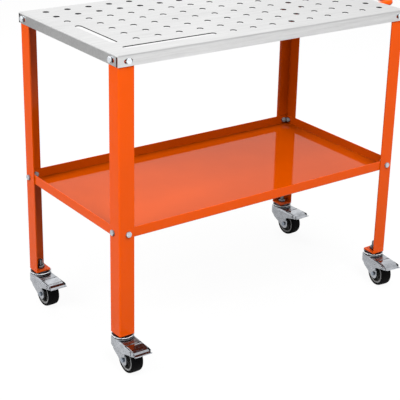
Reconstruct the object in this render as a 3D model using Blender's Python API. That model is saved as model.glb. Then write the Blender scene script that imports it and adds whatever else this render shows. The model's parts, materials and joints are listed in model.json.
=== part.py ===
"""Mobile welding table: a folded perforated top on four angle legs, with a
bolted tray shelf, a push handle and four braked stem casters.
Units are metres, +Z is up, the front long side faces -Y, the handle is on +X."""
import math

import bmesh
import bpy
from mathutils import Matrix, Vector

# Driving dimensions of the table
TOP_LENGTH = 0.914
TOP_WIDTH = 0.478
TABLE_HEIGHT = 0.8185
TOP_SHEET = 0.0025
TOP_BEND_RADIUS = 0.004
SKIRT_HEIGHT = 0.028
CORNER_SLIT = 0.004

# Driving dimensions of the fixture holes and slots in the top
HOLE_COLUMNS = 14
HOLE_ROWS = 8
HOLE_DIAMETER = 0.0165
HOLE_SIDES = 8
HOLE_LEFT_MARGIN = 0.0570
HOLE_RIGHT_MARGIN = 0.0475
HOLE_BACK_MARGIN = 0.0385
HOLE_FRONT_MARGIN = 0.0560
SLOT_ROWS = (3, 6)
SLOT_COLUMNS = (0, 4)

# Driving dimensions of the legs
LEG_FLANGE = 0.0424
LEG_THICKNESS = 0.003
LEG_BEND_RADIUS = 0.004
FOOT_PLATE = 0.004

# Driving dimensions of the tray shelf
TRAY_HEIGHT = 0.3555
TRAY_LIP = 0.027
TRAY_SHEET = 0.002
TRAY_BEND_RADIUS = 0.003

# Driving dimensions of the bolts that hold the top and the tray
BOLT_RADIUS = 0.004
BOLT_HEAD_FLATS = 0.0135
BOLT_HEAD_HEIGHT = 0.0048
BOLT_HEAD_CHAMFER = 0.0006
BOLT_SIDES = 8
NUT_FLATS = 0.013
NUT_HEIGHT = 0.0062
BOLT_TIP = 0.001
BOLT_FROM_CORNER = 0.0225
BOLT_SHIFT_X = 0.0030
BOLT_SHIFT_Y = 0.0060
SKIRT_SLOT_LENGTH = 0.024
SKIRT_SLOT_WIDTH = 0.011
SKIRT_SLOT_SHIFT = 0.0035

# Driving dimensions of the push handle
HANDLE_DIAMETER = 0.016
HANDLE_REACH = 0.078
HANDLE_WIDTH = 0.226
HANDLE_BEND_RADIUS = 0.026
HANDLE_SIDES = 12

# Driving dimensions of the casters
CASTER_HEIGHT = 0.0930
CASTER_TRAIL = 0.039
WHEEL_RADIUS = 0.0375
TREAD_HALF_WIDTH = 0.0165
HUB_RADIUS = 0.0300
STUD_RADIUS = 0.006
STUD_ABOVE_PLATE = 0.025
STEM_FROM_PLATE_CENTRE = 0.001
FORK_HALF_WIDTH_TOP = 0.0262
FORK_HALF_WIDTH_AXLE = 0.0220
FORK_SHEET = 0.0025
AXLE_RADIUS = 0.004
PEDAL_SHEET = 0.0025
PEDAL_HALF_WIDTH = 0.0220
PEDAL_LIP_HALF_WIDTH = 0.0240
PEDAL_TRAVEL = 20
REST_TURN = {
    "front_left": -2.0,
    "back_left": 0.0,
    "back_right": 2.0,
    "front_right": -8.0,
}

# Clearances
SEAT = 0.0003
HOLE_PLAY = 0.0004
SWIVEL_PLAY = 0.0008
SIDE_PLAY = 0.0008

# Paint and metal colours
ORANGE = (0.90, 0.10, 0.005)
PLATED = (0.62, 0.63, 0.64)
SHEET_GREY = (0.72, 0.72, 0.72)
HUB_GREY = (0.32, 0.32, 0.32)
BLACK = (0.012, 0.012, 0.012)

CORNERS = {
    "front_left": (-1, -1),
    "front_right": (1, -1),
    "back_left": (-1, 1),
    "back_right": (1, 1),
}


def clear_scene():
    """Take every object out of the file."""
    for thing in list(bpy.data.objects):
        bpy.data.objects.remove(thing, do_unlink=True)


def make_material(name, colour, metallic, roughness):
    """Give back a named Principled material."""
    mat = bpy.data.materials.new(name)
    mat.use_nodes = True
    shader = mat.node_tree.nodes["Principled BSDF"]
    shader.inputs["Base Color"].default_value = (*colour, 1.0)
    shader.inputs["Metallic"].default_value = metallic
    shader.inputs["Roughness"].default_value = roughness
    mat.diffuse_color = (*colour, 1.0)
    return mat


def finish_mesh(bm):
    """Weld and face a bmesh outwards, and give back a mesh."""
    bmesh.ops.remove_doubles(bm, verts=bm.verts, dist=1e-6)
    bmesh.ops.recalc_face_normals(bm, faces=bm.faces)
    mesh = bpy.data.meshes.new("mesh")
    bm.to_mesh(mesh)
    bm.free()
    return mesh


def loft_mesh(sections):
    """Close a solid over a list of rings with the same number of points."""
    bm = bmesh.new()
    rings = []
    for ring in sections:
        rings.append([bm.verts.new(point) for point in ring])
    count = len(rings[0])
    for low, high in zip(rings, rings[1:]):
        for i in range(count):
            j = (i + 1) % count
            bm.faces.new((low[i], low[j], high[j], high[i]))
    bm.faces.new(list(reversed(rings[0])))
    bm.faces.new(rings[-1])
    return finish_mesh(bm)


def prism_mesh(outline, axis, start, end):
    """Extrude a flat outline along an axis, from start to end."""
    def place(point, depth):
        a, b = point
        if axis == "x":
            return (depth, a, b)
        if axis == "y":
            return (a, depth, b)
        return (a, b, depth)
    return loft_mesh([[place(p, start) for p in outline], [place(p, end) for p in outline]])


def box_mesh(low, high):
    """A plain box between two corners."""
    outline = [(low[0], low[1]), (high[0], low[1]), (high[0], high[1]), (low[0], high[1])]
    return prism_mesh(outline, "z", low[2], high[2])


def ring_points(radius, sides, centre=(0.0, 0.0), turn=0.0):
    """Points of a regular outline that stands for a circle."""
    points = []
    for i in range(sides):
        angle = 2 * math.pi * i / sides + turn
        points.append((centre[0] + radius * math.cos(angle), centre[1] + radius * math.sin(angle)))
    return points


def arc_points(centre, radius, first, last, steps):
    """Points along an arc, with both ends, angles in degrees."""
    points = []
    for i in range(steps + 1):
        angle = math.radians(first + (last - first) * i / steps)
        points.append((centre[0] + radius * math.cos(angle), centre[1] + radius * math.sin(angle)))
    return points


def slot_points(centre, length, width, along_first, steps=4):
    """Outline of a slot with round ends, along the first or the second axis."""
    reach = (length - width) / 2
    if along_first:
        points = arc_points((centre[0] + reach, centre[1]), width / 2, -90, 90, steps)
        points += arc_points((centre[0] - reach, centre[1]), width / 2, 90, 270, steps)
        return points
    points = arc_points((centre[0], centre[1] + reach), width / 2, 0, 180, steps)
    points += arc_points((centre[0], centre[1] - reach), width / 2, 180, 360, steps)
    return points


def turned_mesh(profile, sides, axis="z"):
    """Turn an (r, h) profile about an axis; a profile off the axis is closed into a ring."""
    bm = bmesh.new()
    columns = []
    on_axis = {}
    for i in range(sides):
        angle = 2 * math.pi * i / sides
        column = []
        for k, (radius, height) in enumerate(profile):
            if radius < 1e-9:
                if k not in on_axis:
                    on_axis[k] = bm.verts.new(turn_place(0.0, 0.0, height, axis))
                column.append(on_axis[k])
            else:
                place = turn_place(radius * math.cos(angle), radius * math.sin(angle), height, axis)
                column.append(bm.verts.new(place))
        columns.append(column)
    closed = profile[0][0] > 1e-9
    last = len(profile) if closed else len(profile) - 1
    for i in range(sides):
        here = columns[i]
        there = columns[(i + 1) % sides]
        for k in range(last):
            m = (k + 1) % len(profile)
            corners = []
            for vert in (here[k], there[k], there[m], here[m]):
                if vert not in corners:
                    corners.append(vert)
            bm.faces.new(corners)
    return finish_mesh(bm)


def turn_place(a, b, height, axis):
    """Put a turned point on the X or the Z axis."""
    if axis == "x":
        return (height, a, b)
    return (a, b, height)


def moved(mesh, matrix):
    """Move the points of a mesh by a matrix."""
    mesh.transform(matrix)
    return mesh


def joined(meshes):
    """Put several separate solids in one mesh."""
    bm = bmesh.new()
    for mesh in meshes:
        bm.from_mesh(mesh)
        bpy.data.meshes.remove(mesh)
    mesh = bpy.data.meshes.new("mesh")
    bm.to_mesh(mesh)
    bm.free()
    return mesh


def combined(mesh, other, operation):
    """Join, cut or intersect one solid with another."""
    base = bpy.data.objects.new("base", mesh)
    tool = bpy.data.objects.new("tool", other)
    bpy.context.scene.collection.objects.link(base)
    bpy.context.scene.collection.objects.link(tool)
    step = base.modifiers.new("cut", "BOOLEAN")
    step.operation = operation
    step.solver = "EXACT"
    step.object = tool
    graph = bpy.context.evaluated_depsgraph_get()
    result = bpy.data.meshes.new_from_object(base.evaluated_get(graph))
    bpy.data.objects.remove(base, do_unlink=True)
    bpy.data.objects.remove(tool, do_unlink=True)
    bm = bmesh.new()
    bm.from_mesh(result)
    bmesh.ops.dissolve_degenerate(bm, dist=1e-7, edges=bm.edges)
    bpy.data.meshes.remove(result)
    return finish_mesh(bm)


def add_piece(name, mesh, material, origin=(0.0, 0.0, 0.0), turn=0.0, smooth=None):
    """Link one named piece whose mesh is given about its origin."""
    mesh.name = name
    mesh.materials.clear()
    mesh.materials.append(material)
    thing = bpy.data.objects.new(name, mesh)
    if turn:
        mesh.transform(Matrix.Rotation(turn, 4, "Z"))
    thing.location = origin
    bpy.context.scene.collection.objects.link(thing)
    for face in mesh.polygons:
        face.use_smooth = False
    if smooth:
        mesh.shade_smooth()
        mesh.set_sharp_from_angle(angle=math.radians(smooth))
    return thing


def bevelled_box(low, high, radius, segments, keep):
    """A box with the edges that pass a test rounded."""
    bm = bmesh.new()
    mesh = box_mesh(low, high)
    bm.from_mesh(mesh)
    bpy.data.meshes.remove(mesh)
    edges = [edge for edge in bm.edges if keep(edge)]
    bmesh.ops.bevel(bm, geom=edges, offset=radius, offset_type="OFFSET", segments=segments,
                    profile=0.5, affect="EDGES")
    return finish_mesh(bm)


def edges_at_height(height):
    """A test for the edges that lie level at one height."""
    def keep(edge):
        return all(abs(vert.co.z - height) < 1e-6 for vert in edge.verts)
    return keep


# Positions that several pieces share
TOP_X = TOP_LENGTH / 2
TOP_Y = TOP_WIDTH / 2
LEG_X = TOP_X - TOP_SHEET - SEAT
LEG_Y = TOP_Y - TOP_SHEET - SEAT
TRAY_X = LEG_X - LEG_THICKNESS - SEAT
TRAY_Y = LEG_Y - LEG_THICKNESS - SEAT
TOP_BOLT_Z = TABLE_HEIGHT - SKIRT_HEIGHT * 0.55
TRAY_BOLT_Z = TRAY_HEIGHT + TRAY_LIP * 0.5
STEM_INSET = LEG_FLANGE / 2 + STEM_FROM_PLATE_CENTRE


def bolt_along(sx):
    """X of the bolts on the long sides at one end."""
    return sx * (LEG_X - BOLT_FROM_CORNER) + BOLT_SHIFT_X


def bolt_across(sy):
    """Y of the bolts on the end sides at one side."""
    return sy * (LEG_Y - BOLT_FROM_CORNER) + BOLT_SHIFT_Y


def stem_position(corner):
    """Plan position of one caster stem."""
    sx, sy = CORNERS[corner]
    return (sx * (LEG_X - STEM_INSET), sy * (LEG_Y - STEM_INSET))


def hole_positions():
    """Column and row positions of the fixture holes, from the left and from the back."""
    pitch_x = (TOP_LENGTH - HOLE_LEFT_MARGIN - HOLE_RIGHT_MARGIN) / (HOLE_COLUMNS - 1)
    pitch_y = (TOP_WIDTH - HOLE_BACK_MARGIN - HOLE_FRONT_MARGIN) / (HOLE_ROWS - 1)
    columns = [-TOP_X + HOLE_LEFT_MARGIN + i * pitch_x for i in range(HOLE_COLUMNS)]
    rows = [TOP_Y - HOLE_BACK_MARGIN - i * pitch_y for i in range(HOLE_ROWS)]
    return columns, rows


def build_top(material):
    """The folded sheet with its skirts, corner slits, holes and slots."""
    top = TABLE_HEIGHT
    low = top - SKIRT_HEIGHT
    mesh = bevelled_box((-TOP_X, -TOP_Y, low), (TOP_X, TOP_Y, top), TOP_BEND_RADIUS, 3,
                        edges_at_height(top))
    inner_x = TOP_X - TOP_SHEET
    inner_y = TOP_Y - TOP_SHEET
    inside = bevelled_box((-inner_x, -inner_y, low - 0.01), (inner_x, inner_y, top - TOP_SHEET),
                          TOP_BEND_RADIUS - TOP_SHEET, 2, edges_at_height(top - TOP_SHEET))
    mesh = combined(mesh, inside, "DIFFERENCE")
    cutters = []
    slit_top = top - TOP_BEND_RADIUS
    for sx, sy in CORNERS.values():
        xs = sorted((sx * (TOP_X + 0.01), sx * (TOP_X - TOP_SHEET * 1.5)))
        ys = sorted((sy * (TOP_Y - TOP_SHEET), sy * (TOP_Y - TOP_SHEET - CORNER_SLIT)))
        cutters.append(box_mesh((xs[0], ys[0], low - 0.01), (xs[1], ys[1], slit_top)))
    columns, rows = hole_positions()
    for i, x in enumerate(columns):
        for j, y in enumerate(rows):
            in_cross_slot = i == SLOT_COLUMNS[0] and SLOT_ROWS[0] <= j <= SLOT_ROWS[1]
            in_front_slot = j == HOLE_ROWS - 1 and SLOT_COLUMNS[0] <= i <= SLOT_COLUMNS[1]
            if in_cross_slot or in_front_slot:
                continue
            points = ring_points(HOLE_DIAMETER / 2, HOLE_SIDES, (x, y), math.pi / HOLE_SIDES)
            cutters.append(prism_mesh(points, "z", top - TOP_SHEET - 0.01, top + 0.01))
    y0 = rows[SLOT_ROWS[0]]
    y1 = rows[SLOT_ROWS[1]]
    points = slot_points((columns[SLOT_COLUMNS[0]], (y0 + y1) / 2), y0 - y1 + HOLE_DIAMETER,
                         HOLE_DIAMETER, False, 6)
    cutters.append(prism_mesh(points, "z", top - TOP_SHEET - 0.01, top + 0.01))
    x0 = columns[SLOT_COLUMNS[0]]
    x1 = columns[SLOT_COLUMNS[1]]
    points = slot_points(((x0 + x1) / 2, rows[-1]), x1 - x0 + HOLE_DIAMETER, HOLE_DIAMETER, True, 6)
    cutters.append(prism_mesh(points, "z", top - TOP_SHEET - 0.01, top + 0.01))
    for sx in (-1, 1):
        for sy in (-1, 1):
            span = sorted((sy * (TOP_Y - 0.008), sy * (TOP_Y + 0.01)))
            centre = (bolt_along(sx) - SKIRT_SLOT_SHIFT, TOP_BOLT_Z)
            points = slot_points(centre, SKIRT_SLOT_LENGTH, SKIRT_SLOT_WIDTH, True)
            cutters.append(prism_mesh(points, "y", *span))
            span = sorted((sx * (TOP_X - 0.008), sx * (TOP_X + 0.01)))
            centre = (bolt_across(sy) - SKIRT_SLOT_SHIFT, TOP_BOLT_Z)
            points = slot_points(centre, SKIRT_SLOT_LENGTH, SKIRT_SLOT_WIDTH, True)
            cutters.append(prism_mesh(points, "x", *span))
    for sy in (-1, 1):
        points = ring_points(BOLT_RADIUS + HOLE_PLAY, BOLT_SIDES, (sy * handle_half(), handle_height()))
        cutters.append(prism_mesh(points, "x", TOP_X - 0.008, TOP_X + 0.01))
    mesh = combined(mesh, joined(cutters), "DIFFERENCE")
    add_piece("table_top", mesh, material, smooth=20)


def leg_outline(sx, sy):
    """Plan outline of an angle leg, with its bend at the outer corner."""
    r = LEG_BEND_RADIUS
    t = LEG_THICKNESS
    f = LEG_FLANGE
    points = [(f, 0.0), (f, t), (t, t), (t, f), (0.0, f)]
    points += arc_points((r, r), r, 180, 270, 3)
    placed = []
    for a, b in points:
        placed.append((sx * (LEG_X - a), sy * (LEG_Y - b)))
    return placed


def build_leg(corner, material):
    """One angle leg with its foot plate and its bolt holes."""
    sx, sy = CORNERS[corner]
    foot = CASTER_HEIGHT
    leg_top = TABLE_HEIGHT - max(TOP_SHEET, TOP_BEND_RADIUS) - SEAT
    mesh = prism_mesh(leg_outline(sx, sy), "z", foot + FOOT_PLATE * 0.5, leg_top)
    r = LEG_BEND_RADIUS
    f = LEG_FLANGE
    plate = [(f, 0.0), (f, f), (0.0, f)] + arc_points((r, r), r, 180, 270, 3)
    plate = [(sx * (LEG_X - a), sy * (LEG_Y - b)) for a, b in plate]
    mesh = combined(mesh, prism_mesh(plate, "z", foot, foot + FOOT_PLATE), "UNION")
    x, y = stem_position(corner)
    stud_hole = ring_points(STUD_RADIUS + HOLE_PLAY, STEM_SIDES, (x, y))
    cutters = [prism_mesh(stud_hole, "z", foot - 0.01, foot + 0.01)]
    for height in (TOP_BOLT_Z, TRAY_BOLT_Z):
        points = ring_points(BOLT_RADIUS + HOLE_PLAY, BOLT_SIDES, (bolt_along(sx), height))
        span = sorted((sy * (LEG_Y - 0.008), sy * (LEG_Y + 0.01)))
        cutters.append(prism_mesh(points, "y", *span))
        points = ring_points(BOLT_RADIUS + HOLE_PLAY, BOLT_SIDES, (bolt_across(sy), height))
        span = sorted((sx * (LEG_X - 0.008), sx * (LEG_X + 0.01)))
        cutters.append(prism_mesh(points, "x", *span))
    mesh = combined(mesh, joined(cutters), "DIFFERENCE")
    add_piece("leg_" + corner, mesh, material, smooth=35)


def build_tray(material):
    """The tray shelf: a folded pan with its lips turned up between the legs."""
    low = TRAY_HEIGHT
    top = low + TRAY_LIP
    mesh = bevelled_box((-TRAY_X, -TRAY_Y, low), (TRAY_X, TRAY_Y, top), TRAY_BEND_RADIUS, 3,
                        edges_at_height(low))
    inner_x = TRAY_X - TRAY_SHEET
    inner_y = TRAY_Y - TRAY_SHEET
    floor = low + TRAY_SHEET
    inside = bevelled_box((-inner_x, -inner_y, floor), (inner_x, inner_y, top + 0.01),
                          TRAY_BEND_RADIUS - TRAY_SHEET, 2, edges_at_height(floor))
    mesh = combined(mesh, inside, "DIFFERENCE")
    cutters = []
    for sx, sy in CORNERS.values():
        points = ring_points(BOLT_RADIUS + HOLE_PLAY, BOLT_SIDES, (bolt_along(sx), TRAY_BOLT_Z))
        span = sorted((sy * (TRAY_Y - 0.008), sy * (TRAY_Y + 0.01)))
        cutters.append(prism_mesh(points, "y", *span))
        points = ring_points(BOLT_RADIUS + HOLE_PLAY, BOLT_SIDES, (bolt_across(sy), TRAY_BOLT_Z))
        span = sorted((sx * (TRAY_X - 0.008), sx * (TRAY_X + 0.01)))
        cutters.append(prism_mesh(points, "x", *span))
    mesh = combined(mesh, joined(cutters), "DIFFERENCE")
    add_piece("tray_shelf", mesh, material, smooth=35)


def screw_mesh(end):
    """A hexagon screw along +Z with its head under z=0 and its tip at the end."""
    corner = BOLT_HEAD_FLATS / math.sqrt(3)
    flat = BOLT_HEAD_FLATS / 2
    head = [
        (0.0, -BOLT_HEAD_HEIGHT),
        (flat, -BOLT_HEAD_HEIGHT),
        (corner, BOLT_HEAD_CHAMFER - BOLT_HEAD_HEIGHT),
        (corner, 0.0),
        (0.0, 0.0),
    ]
    shank = prism_mesh(ring_points(BOLT_RADIUS, BOLT_SIDES), "z", -BOLT_HEAD_HEIGHT / 2, end)
    return combined(turned_mesh(head, 6), shank, "UNION")


def bolt_mesh(grip):
    """A hexagon bolt with its nut beyond the grip."""
    mesh = screw_mesh(grip + NUT_HEIGHT + BOLT_TIP)
    nut = prism_mesh(ring_points(NUT_FLATS / math.sqrt(3), 6), "z", grip, grip + NUT_HEIGHT)
    return combined(mesh, nut, "UNION")


def build_bolts(material):
    """Two bolts at each corner for the top and two for the tray."""
    top_grip = TOP_SHEET + LEG_THICKNESS + 3 * SEAT
    tray_grip = LEG_THICKNESS + TRAY_SHEET + 3 * SEAT
    shapes = {"top": bolt_mesh(top_grip), "tray": bolt_mesh(tray_grip)}
    faces = {"top": (TOP_X + SEAT, TOP_Y + SEAT), "tray": (LEG_X + SEAT, LEG_Y + SEAT)}
    heights = {"top": TOP_BOLT_Z, "tray": TRAY_BOLT_Z}
    for kind in ("top", "tray"):
        for corner, (sx, sy) in CORNERS.items():
            turn = Matrix.Rotation(math.radians(90 * sy), 4, "X")
            mesh = moved(shapes[kind].copy(), turn)
            place = (bolt_along(sx), sy * faces[kind][1], heights[kind])
            add_piece(kind + "_bolt_" + corner + "_long", mesh, material, place, smooth=40)
            turn = Matrix.Rotation(math.radians(-90 * sx), 4, "Y")
            mesh = moved(shapes[kind].copy(), turn)
            place = (sx * faces[kind][0], bolt_across(sy), heights[kind])
            add_piece(kind + "_bolt_" + corner + "_end", mesh, material, place, smooth=40)
    for mesh in shapes.values():
        bpy.data.meshes.remove(mesh)


def handle_half():
    """Half the distance between the two ends of the handle."""
    return HANDLE_WIDTH / 2


def handle_height():
    """Height of the handle bar: the middle of the skirt."""
    return TABLE_HEIGHT - SKIRT_HEIGHT * 0.5


def build_handle(paint, plated):
    """The bent round bar on the right end and the two bolts that hold it."""
    start = TOP_X + SEAT
    reach = TOP_X + HANDLE_REACH
    half = handle_half()
    bend = HANDLE_BEND_RADIUS
    path = [((start, -half), 0.0), ((reach - bend, -half), 0.0)]
    steps = 5
    for i in range(1, steps + 1):
        angle = math.pi / 2 * i / steps
        x = reach - bend + bend * math.sin(angle)
        y = -half + bend - bend * math.cos(angle)
        path.append(((x, y), angle))
    for i in range(steps + 1):
        angle = math.pi / 2 * i / steps
        x = reach - bend + bend * math.cos(angle)
        y = half - bend + bend * math.sin(angle)
        path.append(((x, y), math.pi / 2 + angle))
    path.append(((start, half), math.pi))
    rings = []
    for (x, y), heading in path:
        side = Vector((-math.sin(heading), math.cos(heading), 0.0))
        ring = []
        for a, b in ring_points(HANDLE_DIAMETER / 2, HANDLE_SIDES):
            ring.append(Vector((x, y, handle_height())) + side * a + Vector((0, 0, b)))
        rings.append(ring)
    mesh = loft_mesh(rings)
    cutters = []
    depth = 0.018
    for sy in (-1, 1):
        points = ring_points(BOLT_RADIUS + HOLE_PLAY, BOLT_SIDES, (sy * half, handle_height()))
        cutters.append(prism_mesh(points, "x", start - 0.01, start + depth))
    mesh = combined(mesh, joined(cutters), "DIFFERENCE")
    add_piece("push_handle", mesh, paint, smooth=40)
    for name, sy in (("front", -1), ("back", 1)):
        mesh = moved(screw_mesh(TOP_SHEET + depth * 0.8), Matrix.Rotation(math.radians(90), 4, "Y"))
        place = (TOP_X - TOP_SHEET - SEAT, sy * half, handle_height())
        add_piece("handle_bolt_" + name, mesh, plated, place, smooth=40)


# Caster sizes that follow from the driving dimensions; Y is negative along the trail
RACE_RADIUS = FORK_HALF_WIDTH_TOP + 0.0028
HEAD_TOP = CASTER_HEIGHT - 0.0100
HEAD_SHEET = 0.003
HEAD_UNDER = HEAD_TOP - HEAD_SHEET
RACE_TOP = HEAD_TOP + 0.0036
CAP_UNDER = RACE_TOP + SWIVEL_PLAY
CAP_TOP = CASTER_HEIGHT - SEAT
KING_RADIUS = STUD_RADIUS * 0.92
FORK_BACK = 0.007
FORK_TOP_FRONT = -(CASTER_TRAIL + 0.0105)
PIVOT_Y = -(CASTER_TRAIL + 0.042)
PIVOT_Z = HEAD_UNDER - 0.0035
PIN_RADIUS = 0.0028
ARM_END_Y = PIVOT_Y - 0.0130
CHEEK_FOOT_RADIUS = 0.0145
STEM_SIDES = 12
WHEEL_SIDES = 18


def fork_plan(half_width):
    """Plan outline of the fork: straight cheeks with a round back."""
    front = ARM_END_Y - 0.01
    points = [(-half_width, front), (half_width, front)]
    points += arc_points((0.0, FORK_BACK), half_width, 0, 180, 6)
    return points


def fork_shell(inset, low, high):
    """The fork's plan drawn up through its step, from narrow cheeks to a wide head."""
    narrow = FORK_HALF_WIDTH_AXLE - inset
    wide = FORK_HALF_WIDTH_TOP - inset
    step_low = WHEEL_RADIUS + 0.0115
    step_high = step_low + 0.014
    sections = []
    for half_width, height in ((narrow, low), (narrow, step_low), (wide, step_high), (wide, high)):
        sections.append([(x, y, height) for x, y in fork_plan(half_width)])
    return loft_mesh(sections)


def fork_side():
    """Side outline of the fork: cheek down to the axle, arm out to the pedal pivot."""
    axle_y = -CASTER_TRAIL
    back = FORK_BACK + FORK_HALF_WIDTH_TOP + 0.002
    foot = CHEEK_FOOT_RADIUS
    points = [
        (back, HEAD_TOP),
        (back, HEAD_TOP * 0.80),
        (back - 0.0112, HEAD_TOP * 0.715),
        (back - 0.0202, HEAD_TOP * 0.61),
        (back - 0.0262, HEAD_TOP * 0.552),
        (axle_y + foot * 1.8, WHEEL_RADIUS - foot * 0.15),
        (axle_y + foot * 1.2, WHEEL_RADIUS - foot * 0.62),
    ]
    points += arc_points((axle_y, WHEEL_RADIUS), foot, -75, -178, 3)
    points += [(axle_y - 0.0130, WHEEL_RADIUS + 0.0140), (axle_y - 0.0115, WHEEL_RADIUS + 0.0245)]
    points += arc_points((ARM_END_Y + 0.0055, PIVOT_Z + 0.0008), 0.0055, 265, 95, 3)
    points.append((FORK_TOP_FRONT, HEAD_TOP))
    return points


def fork_mesh():
    """The pressed fork with its head, lower race and holes, about the stem axis at floor level."""
    mesh = fork_shell(0.0, -0.005, HEAD_TOP + 0.005)
    side = prism_mesh(fork_side(), "x", -0.05, 0.05)
    mesh = combined(mesh, side, "INTERSECT")
    inside = fork_shell(FORK_SHEET, -0.01, HEAD_UNDER)
    mesh = combined(mesh, inside, "DIFFERENCE")
    gap = FORK_HALF_WIDTH_TOP - FORK_SHEET
    mouth = box_mesh((-gap, ARM_END_Y - 0.02, HEAD_UNDER - 0.004), (gap, FORK_TOP_FRONT, HEAD_TOP + 0.01))
    mesh = combined(mesh, mouth, "DIFFERENCE")
    ring = [
        (RACE_RADIUS * 0.98, HEAD_UNDER + 0.0005),
        (RACE_RADIUS * 0.98, HEAD_TOP + 0.0010),
        (RACE_RADIUS * 0.90, HEAD_TOP + 0.0022),
        (RACE_RADIUS * 0.86, RACE_TOP),
        (RACE_RADIUS * 0.60, RACE_TOP),
        (KING_RADIUS + SWIVEL_PLAY + 0.004, HEAD_TOP + 0.0008),
        (KING_RADIUS + SWIVEL_PLAY + 0.004, HEAD_UNDER + 0.0005),
    ]
    mesh = combined(mesh, turned_mesh(ring, STEM_SIDES), "UNION")
    king_hole = ring_points(KING_RADIUS + SWIVEL_PLAY, STEM_SIDES)
    axle_hole = ring_points(AXLE_RADIUS + HOLE_PLAY, 8, (-CASTER_TRAIL, WHEEL_RADIUS))
    pin_hole = ring_points(PIN_RADIUS + HOLE_PLAY, 6, (PIVOT_Y, PIVOT_Z))
    cutters = [
        prism_mesh(king_hole, "z", HEAD_UNDER - 0.005, RACE_TOP + 0.005),
        prism_mesh(axle_hole, "x", -0.05, 0.05),
        prism_mesh(pin_hole, "x", -0.05, 0.05),
    ]
    return combined(mesh, joined(cutters), "DIFFERENCE")


def stem_mesh():
    """The threaded stud with its upper race cap and riveted kingpin."""
    top = CASTER_HEIGHT + FOOT_PLATE + STUD_ABOVE_PLATE
    rivet = HEAD_UNDER - SEAT
    profile = [
        (0.0, top),
        (STUD_RADIUS * 0.8, top),
        (STUD_RADIUS, top - 0.0012),
        (STUD_RADIUS, CAP_TOP),
        (RACE_RADIUS * 0.80, CAP_TOP),
        (RACE_RADIUS, CAP_TOP - 0.0022),
        (RACE_RADIUS, CAP_UNDER + 0.0004),
        (RACE_RADIUS * 0.96, CAP_UNDER),
        (KING_RADIUS, CAP_UNDER),
        (KING_RADIUS, rivet),
        (KING_RADIUS * 1.7, rivet),
        (KING_RADIUS * 1.4, rivet - 0.0030),
        (0.0, rivet - 0.0036),
    ]
    return turned_mesh(profile, STEM_SIDES)


def nut_mesh():
    """The hexagon nut on the stud, from its seat on the foot plate."""
    low = CASTER_HEIGHT + FOOT_PLATE + SEAT
    high = low + 0.0085
    across = 0.019
    mesh = prism_mesh(ring_points(across / math.sqrt(3), 6), "z", low, high)
    bore = prism_mesh(ring_points(STUD_RADIUS + HOLE_PLAY, STEM_SIDES), "z", low - 0.01, high + 0.01)
    return combined(mesh, bore, "DIFFERENCE")


def axle_mesh():
    """The wheel bolt with its head and nut, along X about the wheel centre."""
    face = FORK_HALF_WIDTH_AXLE + SEAT
    head = 0.0035
    shank = turned_mesh([(0.0, -face - head), (AXLE_RADIUS, -face - head), (AXLE_RADIUS, face + 0.0045),
                         (0.0, face + 0.0045)], 8, "x")
    hexagon = ring_points(0.0135 / math.sqrt(3), 6)
    mesh = combined(shank, prism_mesh(hexagon, "x", -face - head - 0.0008, -face), "UNION")
    return combined(mesh, prism_mesh(hexagon, "x", face, face + head), "UNION")


def hub_mesh():
    """The wheel centre with its rim, recessed web and boss."""
    half = TREAD_HALF_WIDTH - 0.0012
    boss = FORK_HALF_WIDTH_AXLE - FORK_SHEET - SIDE_PLAY
    bore = AXLE_RADIUS + HOLE_PLAY
    rim = HUB_RADIUS
    right = [
        (bore, boss),
        (bore + 0.0042, boss),
        (bore + 0.0048, 0.0045),
        (rim - 0.0070, 0.0045),
        (rim - 0.0050, half),
        (rim, half),
    ]
    left = [(radius, -height) for radius, height in reversed(right)]
    return turned_mesh(right + left, WHEEL_SIDES, "x")


def tyre_mesh():
    """The tyre with its rounded shoulders."""
    half = TREAD_HALF_WIDTH
    outer = WHEEL_RADIUS
    inner = HUB_RADIUS + SEAT
    right = [
        (inner, half - 0.0006),
        (outer - 0.0040, half),
        (outer - 0.0012, half - 0.0014),
        (outer, half - 0.0050),
    ]
    left = [(radius, -height) for radius, height in reversed(right)]
    return turned_mesh(right + left, WHEEL_SIDES, "x")


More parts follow.
